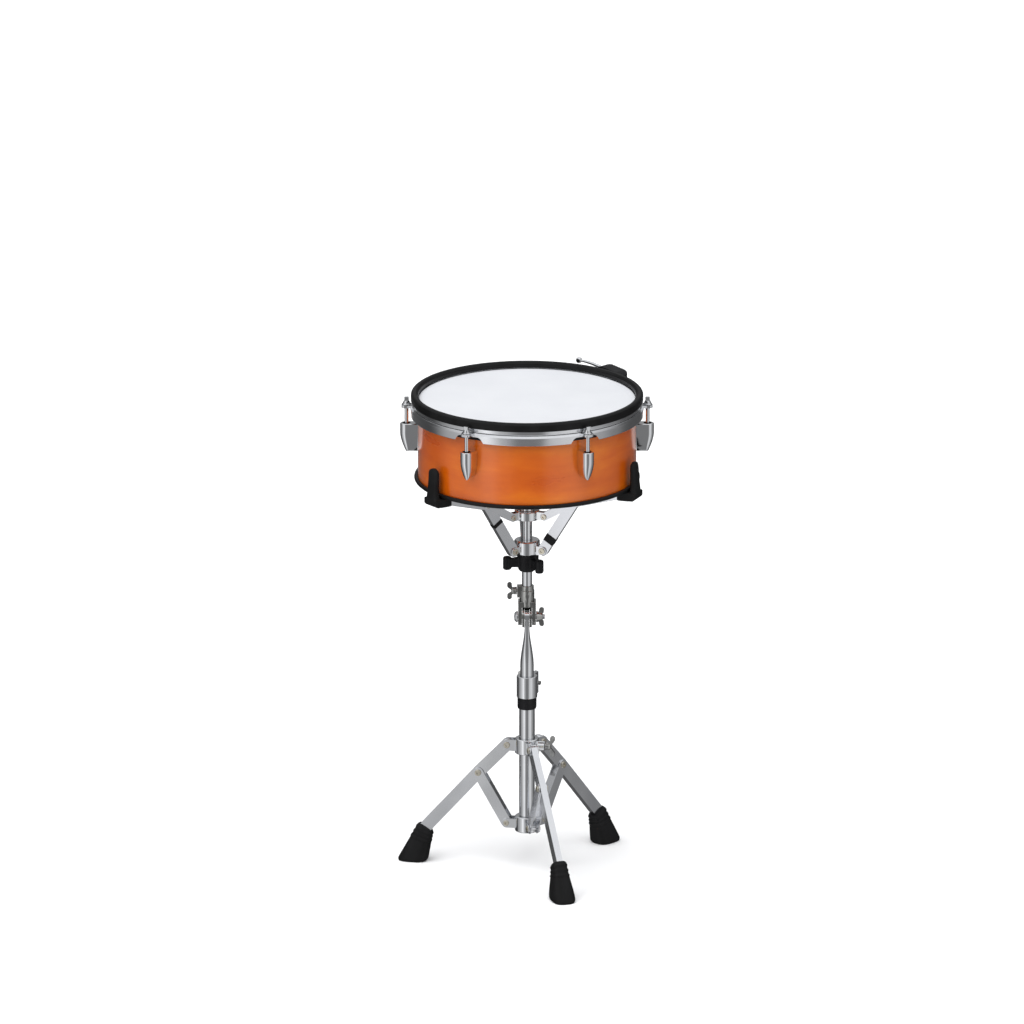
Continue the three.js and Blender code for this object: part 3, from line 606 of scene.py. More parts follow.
def drum_head():
    film, lip = 0.6, SHELL_R + GAP
    section = [
        (0, HEAD_TOP - film), (SHELL_R - 2, HEAD_TOP - film, 1.6), (lip, HEAD_TOP - 3.6, 1.4),
        (lip, FLESH_TOP + GAP), (lip + film, FLESH_TOP + GAP), (lip + film, HEAD_TOP - 3.3, 2.0),
        (SHELL_R - 1.8, HEAD_TOP, 2.2), (0, HEAD_TOP),
    ]
    head = detailed("drum_head", lathe(section, 288), "mesh_head")
    ring = lathe(
        [
            (SHELL_R + 0.5, FLESH_LOW, 0.8), (SHELL_R + 6, FLESH_LOW, 0.8),
            (SHELL_R + 6, FLESH_TOP, 0.8), (SHELL_R + 0.5, FLESH_TOP, 0.8),
        ],
        192,
    )
    detailed("head_flesh_hoop", ring, "black_plastic")


def counter_hoop():
    """Pressed steel hoop: a skirt with scallops at the rods, a ledge, and a neck under the rubber."""
    out, wall, ledge, neck = 162.6, 2.2, 661, 158.4
    body = lathe(
        [
            (out - wall, HOOP_LOW, 0.7), (out, HOOP_LOW, 0.9), (out, ledge - 2.6, 2.6),
            (out - 2.2, ledge + 0.9, 1.6), (neck, ledge + 1.5, 1.4), (neck, 675.5, 0.5),
            (neck - 2.2, 675.5, 0.5), (neck - 2.2, ledge + 1, 0.8), (neck - 4.2, ledge + 1),
            (neck - 4.2, FLESH_TOP + GAP), (out - wall, FLESH_TOP + GAP, 0.8),
        ],
        288,
    )
    notch = prism(
        [(-30, 640), (30, 640), (24, 646.5, 9), (17, 656.6, 8), (-17, 656.6, 8), (-24, 646.5, 9)],
        -172, -150, facing,
    )
    ear = prism(
        [
            (9, -out + 4), (-9, -out + 4), (-7, -ROD_R + 1, 3), (-7, -ROD_R - 7, 6.9),
            (7, -ROD_R - 7, 6.9), (7, -ROD_R + 1, 3),
        ],
        658.2, 661.9, plan, 0.7,
    )
    hole = prism(circle(3.6, (0, -ROD_R)), HOOP_LOW - 1, 664, plan)
    for bearing in ROD_BEARINGS:
        turn = bearing_turn(bearing)
        body = cut(body, moved(notch, turn))
        body = cut(join(body, moved(ear, turn)), moved(hole, turn))
    detailed("counter_hoop", body, "bar")


def rubber_hoop_cover():
    inner, outer, low = 151.5, 162, 668
    section = [
        (158.7, low), (outer - 0.6, low, 0.8), (outer, low + 1.6, 1.0), (outer, RIM_TOP - 2.4, 3.0),
        (outer - 3, RIM_TOP, 2.4), (inner + 3.2, RIM_TOP, 2.6), (inner, RIM_TOP - 3.2, 2.6),
        (inner, low + 3.4, 0.8), (155.9, low + 3.4), (155.9, 675.8), (158.7, 675.8),
    ]
    detailed("rubber_hoop_cover", lathe(section, 288), "hoop_rubber")


def lug():
    """Bullet-shaped lug: upright above, drawn in to a blunt point below, with a cup for the rod."""
    low, high = span("lug_1")[0].z, span("lug_1")[1].z
    low -= 5
    half_width, reach, front = 8.5, 177, 621
    levels = [low + (front - low) * (1 - math.cos(math.pi / 2 * k / 10)) for k in range(11)]
    levels += [high - 1.2, high - 0.4, high]
    sections = []
    for level in levels:
        drop = max(0.0, (front - level) / (front - low))
        rim = max(0.0, (level - high + 1.2) / 1.2)
        width = max(half_width * math.sqrt(1 - 0.96 * drop**2) - 0.9 * rim**2, 1.6)
        out = reach - 8 * drop**1.6 - 0.9 * rim**2
        shoulder = out - width
        sweep = [width * math.cos(math.pi * k / 16) for k in range(17)]
        bulge = [(out - shoulder) * math.sqrt(max(0.0, 1 - (x / width) ** 2)) for x in sweep]
        nose = [(x, -shoulder - depth, level) for x, depth in zip(sweep, bulge)]
        back = [-width + width * k / 4 for k in range(9)]
        seat = [(x, -math.sqrt((SHELL_R + GAP) ** 2 - x**2), level) for x in back]
        sections.append(nose + seat)
    well = lathe([(0, high - 7), (5.4, high - 7), (5.8, high + 1), (0, high + 1)], 32)
    bore = disc(3.3, low + 9, high, 24)
    body = loft(sections)
    body = cut(body, moved(well, by=(0, -ROD_R, 0)), moved(bore, by=(0, -ROD_R, 0)))
    copies("lug", ROD_BEARINGS, body, "chrome")


def tension_rod():
    rest = 662.3
    stem = lathe(
        [
            (0, 608), (2.8, 608, 0.6), (2.8, rest), (6.3, rest, 0.3), (6.3, rest + 1.4, 0.5),
            (4.9, rest + 1.7),
            (4.9, rest + 2.6, 0.4), (3.8, rest + 5.6, 0.8), (0, rest + 5.6),
        ],
        40,
    )
    key = prism(
        [(-3.2, -3.2, 0.7), (3.2, -3.2, 0.7), (3.2, 3.2, 0.7), (-3.2, 3.2, 0.7)], rest + 5, 672.5, plan, 0.8
    )
    rod = moved(join(stem, key), by=(0, -ROD_R, 0))
    copies("tension_rod", ROD_BEARINGS, rod, "chrome")


def trigger():
    """The hidden trigger: a strip across the shell, a sensor disc and a foam cone up to the head."""
    (_, front, low), (_, back, high) = span("sensor_bridge")
    inner = SHELL_IN - 2 * GAP
    profile = [
        (-inner - 5, high, 3), (inner + 5, high, 3), (inner + 5, low), (inner - 2.2, low),
        (inner - 2.2, high - 3, 4), (-inner + 2.2, high - 3, 4), (-inner + 2.2, low), (-inner - 5, low),
    ]
    strip = prism(profile, front, back, facing, 0.5)
    inside = disc(inner, low - 5, high + 5, 192)
    strip = boolean(strip, inside, "INTERSECT")
    detailed("sensor_bridge", strip, "aluminium")
    disc_low, disc_top = (corner.z for corner in span("sensor_disc"))
    sensor = lathe([(0, disc_low), (17, disc_low, 0.4), (17, disc_top, 0.6), (0, disc_top)], 64)
    detailed("sensor_disc", sensor, "black_plastic")
    cone_low, cone_top = (corner.z for corner in span("sensor_foam_cone"))
    cone = lathe(
        [(0, cone_low), (16, cone_low, 1.5), (8.6, cone_top - 3, 4), (7.2, cone_top, 1.5), (0, cone_top)], 64
    )
    detailed("sensor_foam_cone", cone, "foam")


def jack_box():
    (left, _, low), (right, back, high) = span("jack_box")
    outer, margin, depth = SHELL_R, 7.0, 30
    middle = (low + high) / 2
    body = block((left + margin, outer - depth, low + 6), (right - margin, outer + 1, high - 6), 0.8)
    panel = prism(
        [(left, low, 4), (right, low, 4), (right, high, 4), (left, high, 4)], outer - 10, back, facing, 1.0
    )
    backing = disc(outer + GAP, low - 20, high + 20, 192)
    panel = cut(panel, backing)
    case = join(body, panel)
    nut = lathe([(3.4, 0), (5.2, 0), (5.2, 14.4, 0.8), (3.4, 14.4, 0.5)], 40)
    for x in (-14, 14):
        socket = disc(5.4, 0, 40, 40)
        case = cut(case, moved(socket, TO_FRONT, (x, outer + 24, middle)))
    detailed("jack_box", case, "black_plastic")
    for i, x in enumerate((-14, 14), 1):
        piece(f"jack_nut_{i}", moved(nut, TO_FRONT, (x, back - 0.4, middle)), "nickel", body="drum")


def hoop_control():
    """The black control housing behind the hoop, and its chrome lever."""
    base = frame["nodes"]["control_housing"].data
    housing = soften(moved(base, by=(0, 0, FLOOR)), 0.7, 3)
    detailed("control_housing", housing, "black_plastic")
    bearing = 150
    x, y, z = (-21.5, -177, 672.5)
    length, rise = 39.5, 7
    sections = []
    for k in range(13):
        share = k / 12
        level = z + rise * (1 - (1 - share) ** 2)
        along, across = (0, 2.3 - 0.5 * share, 0), (0, 0, 2.6 - 1.1 * share)
        sections.append(oval((x + length * share, y, level), along, across, 2.6, 24))
    knob = lathe([(0, -3.2), (3.4, -3.2, 1.2), (4.4, 0, 3), (3.4, 3.2, 1.2), (0, 3.2)], 32)
    hub = lathe([(0, -2.9), (4.2, -2.9, 0.6), (4.2, 2.9, 0.6), (0, 2.9)], 40)
    lever = join(
        loft(sections), moved(knob, TO_FRONT, (x + length, y, z + rise)), moved(hub, TO_FRONT, (x, y, z))
    )
    lever = cut(lever, moved(disc(2.5, -9, 9, 32), TO_FRONT, (x, y, z)))
    detailed("control_lever", lever, "chrome", bearing)


# ---------------------------------------------------------------- tripod


def socket_screw(radius, height, hole=1.9):
    """A low round screw head with a hexagon socket, standing on Z = 0."""
    head = lathe([(0, 0), (radius, 0, 0.2), (radius, height, 0.6), (0, height)], 40)
    return cut(head, prism(circle(hole, count=6), height - 1.1, height + 1, plan))


def pivot_screws(stem, bearings, place, across, radius, height, node):
    """A screw head on each side of every pivot of a hub."""
    out, up = place
    heads = [
        moved(socket_screw(radius, height), TO_X if side > 0 else TO_X @ Matrix.Rotation(math.pi, 4, "X"),
              (side * across, -out, up))
        for side in (-1, 1)
    ]
    for i, bearing in enumerate(bearings, 1):
        for side, head in zip("ab", heads):
            piece(f"{stem}_{i}{side}", head, "nickel", body=BODY_OF[node], bearing=bearing)


def pivot_hub(core, bearings, place, inside, thickness, depth, slot_radius, root):
    """A hub whose cheeks run out to each pivot, with a slot between them for a bar."""
    outline = bar_outline([(root, place[1]), place], depth)
    pin = prism(circle(2.8, place, 20), -inside - 0.5, inside + 0.5)
    for bearing in bearings:
        turn = bearing_turn(bearing)
        for low in (inside, -inside - thickness):
            core = join(core, moved(prism(outline, low, low + thickness, bevel=0.5), turn))
    slot = prism(circle(slot_radius, place, 40), -inside, inside)
    for bearing in bearings:
        core = cut(core, moved(slot, bearing_turn(bearing)))
    for bearing in bearings:
        core = join(core, moved(pin, bearing_turn(bearing)))
    return core


def base_tube():
    low, high = (corner.z for corner in span("base_tube"))
    out = span("base_tube")[1].x
    section = [(out - 1.2, low, 0.3), (out, low, 0.4), (out, high, 0.4), (out - 1.2, high, 0.3)]
    detailed("base_tube", lathe(section, 96), "chrome")


def lower_hub():
    core = lathe([(0, 40), (17, 40, 1.6), (17, 62, 1.6), (0, 62)], 96)
    hub = pivot_hub(core, LEG_BEARINGS, HUB, LINK_OUT + GAP, 1.8, 13, 8.6, 12)
    detailed("lower_hub", hub, "chrome")
    pivot_screws("hub_screw", LEG_BEARINGS, HUB, LINK_OUT + GAP + 1.8, 4.0, 1.4, "lower_hub")


def leg_collar():
    bearing = bearing_of("collar_bolt_turn")
    core = lathe([(0, 154), (17, 154, 1.5), (17, 176, 1.5), (0, 176)], 96)
    hub = pivot_hub(core, LEG_BEARINGS, COLLAR, LINK_IN, 2, 16, 9.2, 12)
    boss = moved(lathe([(0, 0), (7, 0), (7, 12, 0.8), (0, 12)], 40), TO_FRONT, (0, -14, COLLAR[1]))
    thread = moved(disc(3.3, 0, 20, 32), TO_FRONT, (0, -8, COLLAR[1]))
    hub = join(hub, moved(boss, bearing_turn(bearing)))
    bore = disc(11.4, 140, 190, 96)
    hub = cut(hub, bore, moved(thread, bearing_turn(bearing)))
    detailed("leg_collar", hub, "chrome")
    pivot_screws("collar_screw", LEG_BEARINGS, COLLAR, LINK_IN + 2, 4.6, 1.4, "leg_collar")


def wing_bolt(shank_from, start, wing_span, shank_radius=3.0):
    """A cast wing bolt pointing to the front: shank, domed nut and two rounded wings."""
    shank = lathe(
        [(0, shank_from), (shank_radius, shank_from, 0.5), (shank_radius, start + 1), (0, start + 1)], 32
    )
    nut = lathe(
        [(0, start), (5.6, start, 0.6), (5.2, start + 5, 1.5), (3.4, start + 8, 1.5), (0, start + 8)], 32
    )
    bolt = join(moved(shank, TO_FRONT), moved(nut, TO_FRONT))
    for side in (-1, 1):
        outline = [
            (start + 1.5, side * 1.0, 0.5), (start + 6.8, side * (wing_span - 3.5), 2.5),
            (start + 6.8, side * (wing_span + 3.4), 3.2), (start + 13.4, side * (wing_span + 3.4), 3.2),
            (start + 13.4, side * (wing_span - 3.6), 3.0), (start + 7.2, side * 1.0, 1.0),
        ]
        bolt = join(bolt, prism(outline, -1.6, 1.6, bevel=0.9))
    return bolt


def collar_wing_bolt():
    bolt = moved(wing_bolt(12.4, 26.5, 12), by=(0, 0, COLLAR[1]))
    detailed("collar_wing_bolt", bolt, "cast_metal", bearing_of("collar_bolt_turn"))


def leg():
    outline = bar_outline([COLLAR, KNEE, FOOT_TOP, LEG_END], BAR_DEPTH)
    hole = prism(circle(3.1, COLLAR, 24), -10, 10)
    copies("leg", LEG_BEARINGS, cut(prism(outline, -BAR_HALF, BAR_HALF, bevel=1.1), hole), "bar")


def straddle_link(start, end, depth, web_from, web_to):
    """A pressed U-shaped link: two walls beside the bar, joined by a web along the upper edge."""
    outline = bar_outline([start, end], depth)
    solid = prism(outline, -LINK_OUT, LINK_OUT, bevel=0.7)
    first, last = Vector(start), Vector(end)
    way = (last - first).normalized()
    up = Vector((-way.y, way.x))
    web = 1.6
    corners = [
        first - way * depth - up * depth, last + way * depth - up * depth,
        last + way * depth + up * depth, last - way * web_to + up * depth,
        last - way * web_to + up * (depth / 2 - web), first + way * web_from + up * (depth / 2 - web),
        first + way * web_from + up * depth, first - way * depth + up * depth,
    ]
    return cut(solid, prism([tuple(c) for c in corners], -LINK_IN, LINK_IN))


def rivets(stem, bearings, place, node, radius=4.6, height=1.6):
    pivot_screws(stem, bearings, place, LINK_OUT, radius, height, node)


def brace():
    link = straddle_link(HUB, KNEE, 15, 17, 20)
    link = cut(link, prism(circle(3.1, HUB, 24), -10, 10))
    copies("brace", LEG_BEARINGS, link, "bar")
    for i, bearing in enumerate(LEG_BEARINGS, 1):
        rivets(f"knee_rivet_{i}", [bearing], KNEE, f"brace_{i}")


def foot():
    """Moulded rubber foot: three ribs where it grips the leg, then a flare down to a flat sole."""
    rings = []
    steps = 44
    for k in range(steps + 1):
        share = k / steps
        inner = Vector((135.0, 29.5)).lerp(Vector((143.0, FLOOR)), share)
        outer = Vector((155.5, 42.0)).lerp(Vector((186.5, FLOOR)), share)
        flare = share * share * (3 - 2 * share)
        half = 10.4 + 6.6 * flare
        rib = 0.0
        if 0.06 < share < 0.42:
            rib = 0.9 * max(0.0, math.sin((share - 0.06) / 0.12 * 2 * math.pi)) ** 0.7
        edge = 2.4 * max(0.0, (share - 0.9) / 0.1) ** 2 + 2.0 * max(0.0, (0.05 - share) / 0.05) ** 2
        middle = (inner + outer) / 2
        along = (outer - inner) / 2
        along *= (along.length + rib - edge) / along.length
        rings.append(
            oval((0, -middle.x, middle.y), (0, -along.x, along.y), (half + rib - edge, 0, 0), 2.9, 56)
        )
    around_leg = bar_outline([KNEE, FOOT_TOP, LEG_END], BAR_DEPTH + 2 * GAP)
    socket = prism(around_leg, -BAR_HALF - GAP, BAR_HALF + GAP)
    copies("foot", LEG_BEARINGS, cut(loft(rings), socket), "black_rubber")


# ---------------------------------------------------------------- column


def clamp_bushing():
    low, high = (corner.z for corner in span("clamp_bushing"))
    section = [(11.4, low, 0.4), (12.7, low, 0.6), (13.4, low + 2.4, 0.8), (13.4, high, 0.5), (11.4, high)]
    detailed("clamp_bushing", lathe(section, 80), "black_plastic")


CLAMP_BEARING = 158


def height_clamp():
    low, high = 236, 267
    body = lathe([(0, low), (14.6, low, 0.9), (14.6, high, 0.9), (0, high)], 96)
    flange = prism([(-7.5, -27, 3), (7.5, -27, 3), (7.5, -8), (-7.5, -8)], low, high, plan, 0.8)
    split = block((-1.2, -30, low - 1), (1.2, -5, high + 1))
    screw = prism(circle(3.3, (20.5, (low + high) / 2), 32), -10, 10)
    seat = disc(11.4, low - 1, 244.3, 80)
    bore = disc(9.85, low - 2, high + 2, 80)
    clamp = cut(join(body, flange), split, screw, seat, bore)
    detailed("height_clamp", clamp, "chrome", CLAMP_BEARING)
    bolt = moved(wing_bolt(-12, 8.2, 11), bearing_turn(90), (0, -20.5, (low + high) / 2))
    detailed("height_wing_bolt", bolt, "cast_metal", CLAMP_BEARING)


def upper_tube():
    """Round tube that is pressed flat towards its top, where the tilter casting wraps it."""
    low, squeeze_from, tongue_low = 84, 282, 338
    radius, half_thick, half_wide = 9.55, 3.4, 12
    rings = []
    taper = tongue_low - squeeze_from
    heights = [low, squeeze_from] + [squeeze_from + taper * k / 16 for k in range(1, 17)]
    for level in [*heights, TILT_Z]:
        share = min(max((level - squeeze_from) / taper, 0.0), 1.0)
        squeeze = share * share * (3 - 2 * share)
        across = (radius + squeeze * (half_thick - radius), 0, 0)
        along = (0, radius + squeeze * (half_wide - radius), 0)
        rings.append(oval((0, 0, level), across, along, 2 + 2.2 * squeeze, 64))
    tongue = prism(circle(half_wide, (0, TILT_Z), 48), -half_thick, half_thick, bevel=0.8)
    hole = prism(circle(3.9, (0, TILT_Z), 32), -10, 10)
    hollow = disc(radius - 1.2, low - 5, 270, 48)
    detailed("upper_tube", cut(join(loft(rings), tongue), hole, hollow), "chrome")


def arc(centre, radius, start, end, steps=16):
    angles = [math.radians(start + (end - start) * k / steps) for k in range(steps + 1)]
    return [(centre[0] + radius * math.cos(a), centre[1] + radius * math.sin(a)) for a in angles]


def tilter():
    outline = [(-13.5, 341, 1.5), (13.5, 341, 1.5), *arc((0, TILT_Z), 14, 0, 180, 28)]
    lower = prism(outline, -6.7, 6.7, bevel=0.6)
    slot = block((-3.7, -20, 330), (3.7, 20, TILT_Z + 12.4))
    hole = prism(circle(3.9, (0, TILT_Z), 32), -22, 22)
    detailed("tilter_lower", cut(lower, slot, hole), "cast_metal")

    cheek = [*arc((0, TILT_Z), 12, 180, 360, 28), (9.6, 375), (-9.6, 375)]
    upper = join(prism(cheek, -12.5, -7, bevel=0.8), prism(cheek, 7, 12.5, bevel=0.8))
    bridge = block((-12.5, -9.6, 368.6), (12.5, 9.6, 377), 0.8)
    socket = lathe(
        [(0, 369), (10.4, 369, 0.6), (10.4, 392, 0.9), (9.6, 392.4), (9.6, 399, 0.8), (0, 399)], 64
    )
    clamp_lug = block((-14, -5.5, 382), (-6, 5.5, 399), 1.0)
    upper = join(upper, bridge, socket, clamp_lug)
    bore = disc(7.5, 376, 405, 48)
    screw = prism(circle(3.2, (0, 391), 32), -20, -5)
    detailed("tilter_upper", cut(upper, bore, screw, hole), "cast_metal")


def tilter_fastenings():
    shank = lathe([(0, -15), (3.5, -15), (3.5, 25, 0.6), (0, 25)], 40)
    head = lathe([(0, 12.8), (8, 12.8, 0.4), (8, 14.6, 1.2), (5.6, 17.6, 2.5), (0, 18.2)], 48)
    flip = TO_X @ Matrix.Rotation(math.pi, 4, "X")
    bolt = join(moved(shank, TO_X), moved(head, flip))
    detailed("tilter_bolt", moved(bolt, by=(0, 0, TILT_Z)), "chrome")

    nut = moved(
        lathe([(0, 12.8), (8.2, 12.8, 0.6), (6.2, 19, 2.5), (5.2, 22, 1.0), (0, 22)], 40), TO_X
    )
    for side in (-1, 1):
        paddle = [
            (14.2, side * 1.5, 0.5), (16.6, side * 8.0, 3), (17.6, side * 13.6, 3.1),
            (24.2, side * 13.6, 3.1), (23.4, side * 6.5, 2.5), (19.8, side * 1.5, 0.8),
        ]
        nut = join(nut, prism(paddle, -1.7, 1.7, facing, bevel=1.0))
    nut = cut(nut, moved(disc(3.8, 10, 30, 32), TO_X))
    detailed("tilter_wing_nut", moved(nut, by=(0, 0, TILT_Z)), "cast_metal")
    clamp = moved(wing_bolt(8.2, 14.3, 9, 2.9), bearing_turn(-90), (0, 0, 391))
    detailed("rod_clamp_bolt", clamp, "cast_metal")


# ---------------------------------------------------------------- basket


def basket_rod():
    (_, _, low), (_, _, high) = span("basket_rod")
    section = [
        (0, low), (7.2, low, 0.8), (7.2, 509.3), (10.6, 509.3, 0.4), (10.6, 513.5, 0.8),
        (7.2, high, 1.0), (0, high),
    ]
    detailed("basket_rod", lathe(section, 64), "chrome")


def basket_hubs():
    core = lathe([(0, 496), (17.5, 496, 1.6), (17.5, 509, 1.6), (0, 509)], 80)
    bore = disc(7.5, 430, 520, 64)
    blade = prism(bar_outline([(10, UPPER[1]), UPPER], 11), -BAR_HALF, BAR_HALF, bevel=0.6)
    pin = prism(circle(2.8, UPPER, 20), -LINK_OUT, LINK_OUT)
    for bearing in ARM_BEARINGS:
        core = join(core, moved(blade, bearing_turn(bearing)))
        core = join(core, moved(pin, bearing_turn(bearing)))
    detailed("basket_upper_hub", cut(core, bore), "chrome")
    pivot_screws("upper_pin", ARM_BEARINGS, UPPER, LINK_OUT, 4.0, 1.3, "basket_upper_hub")

    core = lathe([(0, 446.8), (18, 446.8, 1.0), (18, 464, 2.0), (16.5, 466, 0.8), (0, 466)], 96)
    hub = pivot_hub(core, ARM_BEARINGS, LOWER, LINK_IN, 2, 12.4, 8.2, 10)
    detailed("basket_lower_hub", cut(hub, bore), "chrome")
    pivot_screws("lower_pin", ARM_BEARINGS, LOWER, LINK_IN + 2, 4.6, 1.3, "basket_lower_hub")


def basket_knob():
    """Three-lobed knob that clamps the basket from below."""
    low, high, reach = 423, 446.2, 34
    section = [(0, low - 3), (10, low - 3, 1), (12.5, low, 2), (12.8, high - 4, 3), (15.5, high, 0.8), (0, high)]
    core = lathe(section, 48)
    lobe_radius = 6.0
    lobe = lathe([(0, low), (lobe_radius, low, 2.5), (lobe_radius, high - 4, 2.5), (0, high - 4)], 36)
    neck = prism([(8, low + 3), (27, low + 4), (27, high - 8), (8, high - 5)], -4.2, 4.2)
    for bearing in (-82, 38, 158):
        turn = bearing_turn(bearing)
        core = join(core, moved(neck, turn), moved(moved(lobe, by=(0, -reach + lobe_radius, 0)), turn))
    knob = soften(core, 0.8, 5)
    knob = cut(knob, disc(7.5, low - 10, high + 5, 48))
    detailed("basket_knob", knob, "black_plastic")


def arm_end(margin):
    """The arm's outer stretch, which tapers from the elbow to its tip, grown by a margin."""
    along = (Vector(ARM_TIP) - Vector(ELBOW)).normalized()
    normal = Vector((-along.y, along.x))
    elbow, tip = Vector(ELBOW), Vector(ARM_TIP) + along * margin
    root, end = ARM_DEPTH / 2 + margin, TIP_DEPTH / 2 + margin
    corners = (elbow - normal * root, tip - normal * end, tip + normal * end, elbow + normal * root)
    return [tuple(corner) for corner in corners]


def basket_arm():
    inner = prism(bar_outline([LOWER, ELBOW], ARM_DEPTH), -BAR_HALF, BAR_HALF, bevel=1.0)
    outer = prism(arm_end(0), -BAR_HALF, BAR_HALF, bevel=1.0)
    hole = prism(circle(3.1, LOWER, 24), -10, 10)
    copies("basket_arm", ARM_BEARINGS, cut(join(inner, outer), hole), "bar")
    way = (Vector(ELBOW) - Vector(LOWER)).normalized()
    # Painted reflection: black rubber bands, each at its own place and length on its arm, stand in for the dark
    # reflections seen in the arms' chrome.
    for i, (bearing, along, length) in enumerate(zip(ARM_BEARINGS, (54, 21, 47), (6, 12, 6)), 1):
        start = Vector(LOWER) + way * (along - length / 2)
        normal = Vector((-way.y, way.x)) * (ARM_DEPTH / 2 + 0.35)
        end = start + way * length
        corners = [tuple(p) for p in (start - normal, end - normal, end + normal, start + normal)]
        reflection_band = prism(corners, -BAR_HALF - 0.35, BAR_HALF + 0.35, bevel=0.3)
        piece(f"arm_painted_reflection_{i}", reflection_band, "edge_rubber", body=f"arm_{i}", bearing=bearing)


def basket_strut():
    link = straddle_link(UPPER, ELBOW, 11, 11, 14)
    link = cut(link, prism(circle(3.1, UPPER, 24), -10, 10))
    copies("basket_strut", ARM_BEARINGS, link, "bar")
    for i, bearing in enumerate(ARM_BEARINGS, 1):
        rivets(f"elbow_rivet_{i}", [bearing], ELBOW, f"basket_strut_{i}", 4.0, 1.4)


def grip():
    """Moulded rubber grip: a wide seat under the drum's edge and a tapering finger outside it."""
    seat, inner = DRUM_LOW - GAP, 157.8
    base = prism(
        [(141, 541.7, 2), (165, 542.7, 5), (169.4, 546.5, 4), (169.4, seat), (141, seat, 1)],
        -13.8, 13.8, bevel=3.0,
    )
    sections = []
    low, high = 547, 597.2
    for k in range(25):
        share = k / 24
        level = low + (high - low) * share
        round_top = max(0.0, (share - 0.86) / 0.14)
        cap = math.sqrt(max(0.0, 1 - round_top**2)) * 0.75 + 0.25 if round_top else 1.0
        half = (10.0 + 3.4 * max(0.0, 1 - share / 0.6) ** 1.4) * cap
        outer = 169.8 - 4.0 * share
        middle = (inner + outer) / 2
        deep = (outer - inner) / 2 * (0.45 + 0.55 * cap)
        sections.append(oval((0, -middle, level), (half, 0, 0), (0, deep, 0), 2.6, 40))
    body = soften(join(base, loft(sections)), 0.8, 4)
    drum_space = disc(inner, seat, 700, 192)
    socket = prism(arm_end(GAP), -BAR_HALF - GAP, BAR_HALF + GAP)
    copies("grip", ARM_BEARINGS, cut(body, drum_space, socket), "black_rubber")


# ---------------------------------------------------------------- studio


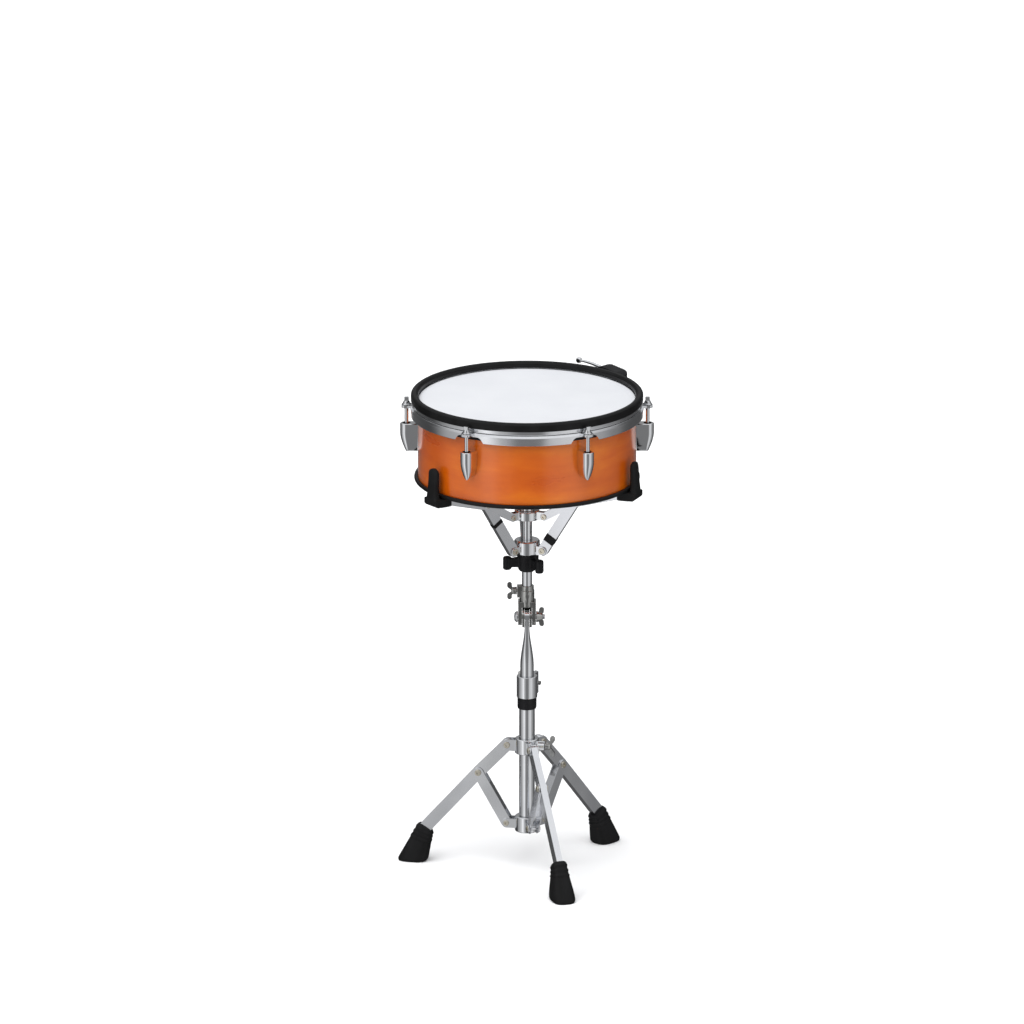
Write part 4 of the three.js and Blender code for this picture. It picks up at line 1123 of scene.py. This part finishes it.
def studio_world():
    """What polished metal sees: two tall soft boxes in front, darker room between and behind."""
    world = bpy.data.worlds.new("studio")
    bpy.context.scene.world = world
    world.use_nodes = True
    tree = world.node_tree
    room = tree.nodes["Background"]
    way = tree.nodes.new("ShaderNodeTexCoord").outputs["Generated"]
    parts = tree.nodes.new("ShaderNodeSeparateXYZ")
    tree.links.new(way, parts.inputs[0])
    turn = tree.nodes.new("ShaderNodeMath")
    turn.operation = "ARCTAN2"
    behind = tree.nodes.new("ShaderNodeMath")
    behind.operation = "MULTIPLY"
    behind.inputs[1].default_value = -1
    tree.links.new(parts.outputs["Y"], behind.inputs[0])
    tree.links.new(parts.outputs["X"], turn.inputs[0])
    tree.links.new(behind.outputs[0], turn.inputs[1])
    share = tree.nodes.new("ShaderNodeMapRange")
    share.inputs["From Min"].default_value = -math.pi
    share.inputs["From Max"].default_value = math.pi
    tree.links.new(turn.outputs[0], share.inputs["Value"])
    walls = tree.nodes.new("ShaderNodeValToRGB")
    walls.color_ramp.interpolation = "EASE"
    bearings = [
        (-180, 0.28), (-150, 0.09), (-115, 0.06), (-78, 0.40), (-58, 0.62), (-40, 1.0), (-24, 0.45),
        (-8, 0.19), (12, 0.19), (28, 0.60), (50, 0.70), (76, 0.36), (98, 0.22), (118, 0.08), (150, 0.08),
        (180, 0.28),
    ]
    elements = walls.color_ramp.elements
    while len(elements) < len(bearings):
        elements.new(0.5)
    for element, (bearing, level) in zip(elements, bearings):
        element.position = (bearing + 180) / 360
        element.color = (level, level * 1.005, level * 1.02, 1)
    tree.links.new(share.outputs["Result"], walls.inputs["Fac"])
    ceiling = tree.nodes.new("ShaderNodeMapRange")
    ceiling.interpolation_type = "SMOOTHSTEP"
    ceiling.inputs["From Min"].default_value = 0.35
    ceiling.inputs["From Max"].default_value = 0.8
    tree.links.new(parts.outputs["Z"], ceiling.inputs["Value"])
    whole = tree.nodes.new("ShaderNodeMix")
    whole.data_type = "RGBA"
    whole.inputs[7].default_value = (0.85, 0.86, 0.88, 1)
    tree.links.new(ceiling.outputs["Result"], whole.inputs[0])
    tree.links.new(walls.outputs["Color"], whole.inputs[6])
    tree.links.new(whole.outputs[2], room.inputs["Color"])
    backdrop = tree.nodes.new("ShaderNodeBackground")
    backdrop.inputs["Strength"].default_value = 1.05
    backdrop.inputs["Color"].default_value = (1, 1, 1, 1)
    seen = tree.nodes.new("ShaderNodeLightPath")
    either = tree.nodes.new("ShaderNodeMixShader")
    tree.links.new(seen.outputs["Is Camera Ray"], either.inputs[0])
    tree.links.new(room.outputs[0], either.inputs[1])
    tree.links.new(backdrop.outputs[0], either.inputs[2])
    tree.links.new(either.outputs[0], tree.nodes["World Output"].inputs["Surface"])


def studio():
    scene = bpy.context.scene
    scene.view_settings.view_transform = "Standard"
    studio_world()
    floor = bpy.data.objects.new("floor", prism(circle(9000, count=96), -20, -0.2, plan))
    scene.collection.objects.link(floor)
    paper = Nodes("studio_paper", (0.93, 0.93, 0.93), 0.9, Specular_IOR_Level=0.0)
    paper.colour(paper.ramp(paper.noise(3), [(0.3, (0.92, 0.92, 0.92)), (0.7, (0.94, 0.94, 0.94))]))
    floor.data.materials.append(paper.material)
    floor.visible_glossy = False
    sun = bpy.data.lights.new("overhead_light", "SUN")
    sun.energy = 2.7
    sun.angle = math.radians(70)
    overhead = bpy.data.objects.new("overhead_light", sun)
    overhead.rotation_euler = (math.radians(24), math.radians(-14), 0)
    overhead.visible_glossy = False
    scene.collection.objects.link(overhead)


def camera():
    elevation, distance = math.radians(16.5), 25.0
    view_width = 1.4295
    aim = Vector((-0.021, 0, 0.5055 - FLOOR * MM))
    data = bpy.data.cameras.new("camera")
    data.sensor_width = 36
    data.lens = data.sensor_width * distance / view_width
    obj = bpy.data.objects.new("camera", data)
    obj.location = aim + Vector((0, -math.cos(elevation), math.sin(elevation))) * distance
    obj.rotation_euler = (aim - obj.location).to_track_quat("-Z", "Y").to_euler()
    bpy.context.scene.collection.objects.link(obj)
    bpy.context.scene.camera = obj


camera()
studio()
shell()
bottom_edge_trim()
drum_head()
counter_hoop()
rubber_hoop_cover()
lug()
tension_rod()
trigger()
jack_box()
hoop_control()
base_tube()
lower_hub()
leg_collar()
collar_wing_bolt()
leg()
brace()
foot()
clamp_bushing()
height_clamp()
upper_tube()
tilter()
tilter_fastenings()
basket_rod()
basket_hubs()
basket_knob()
basket_arm()
basket_strut()
grip()
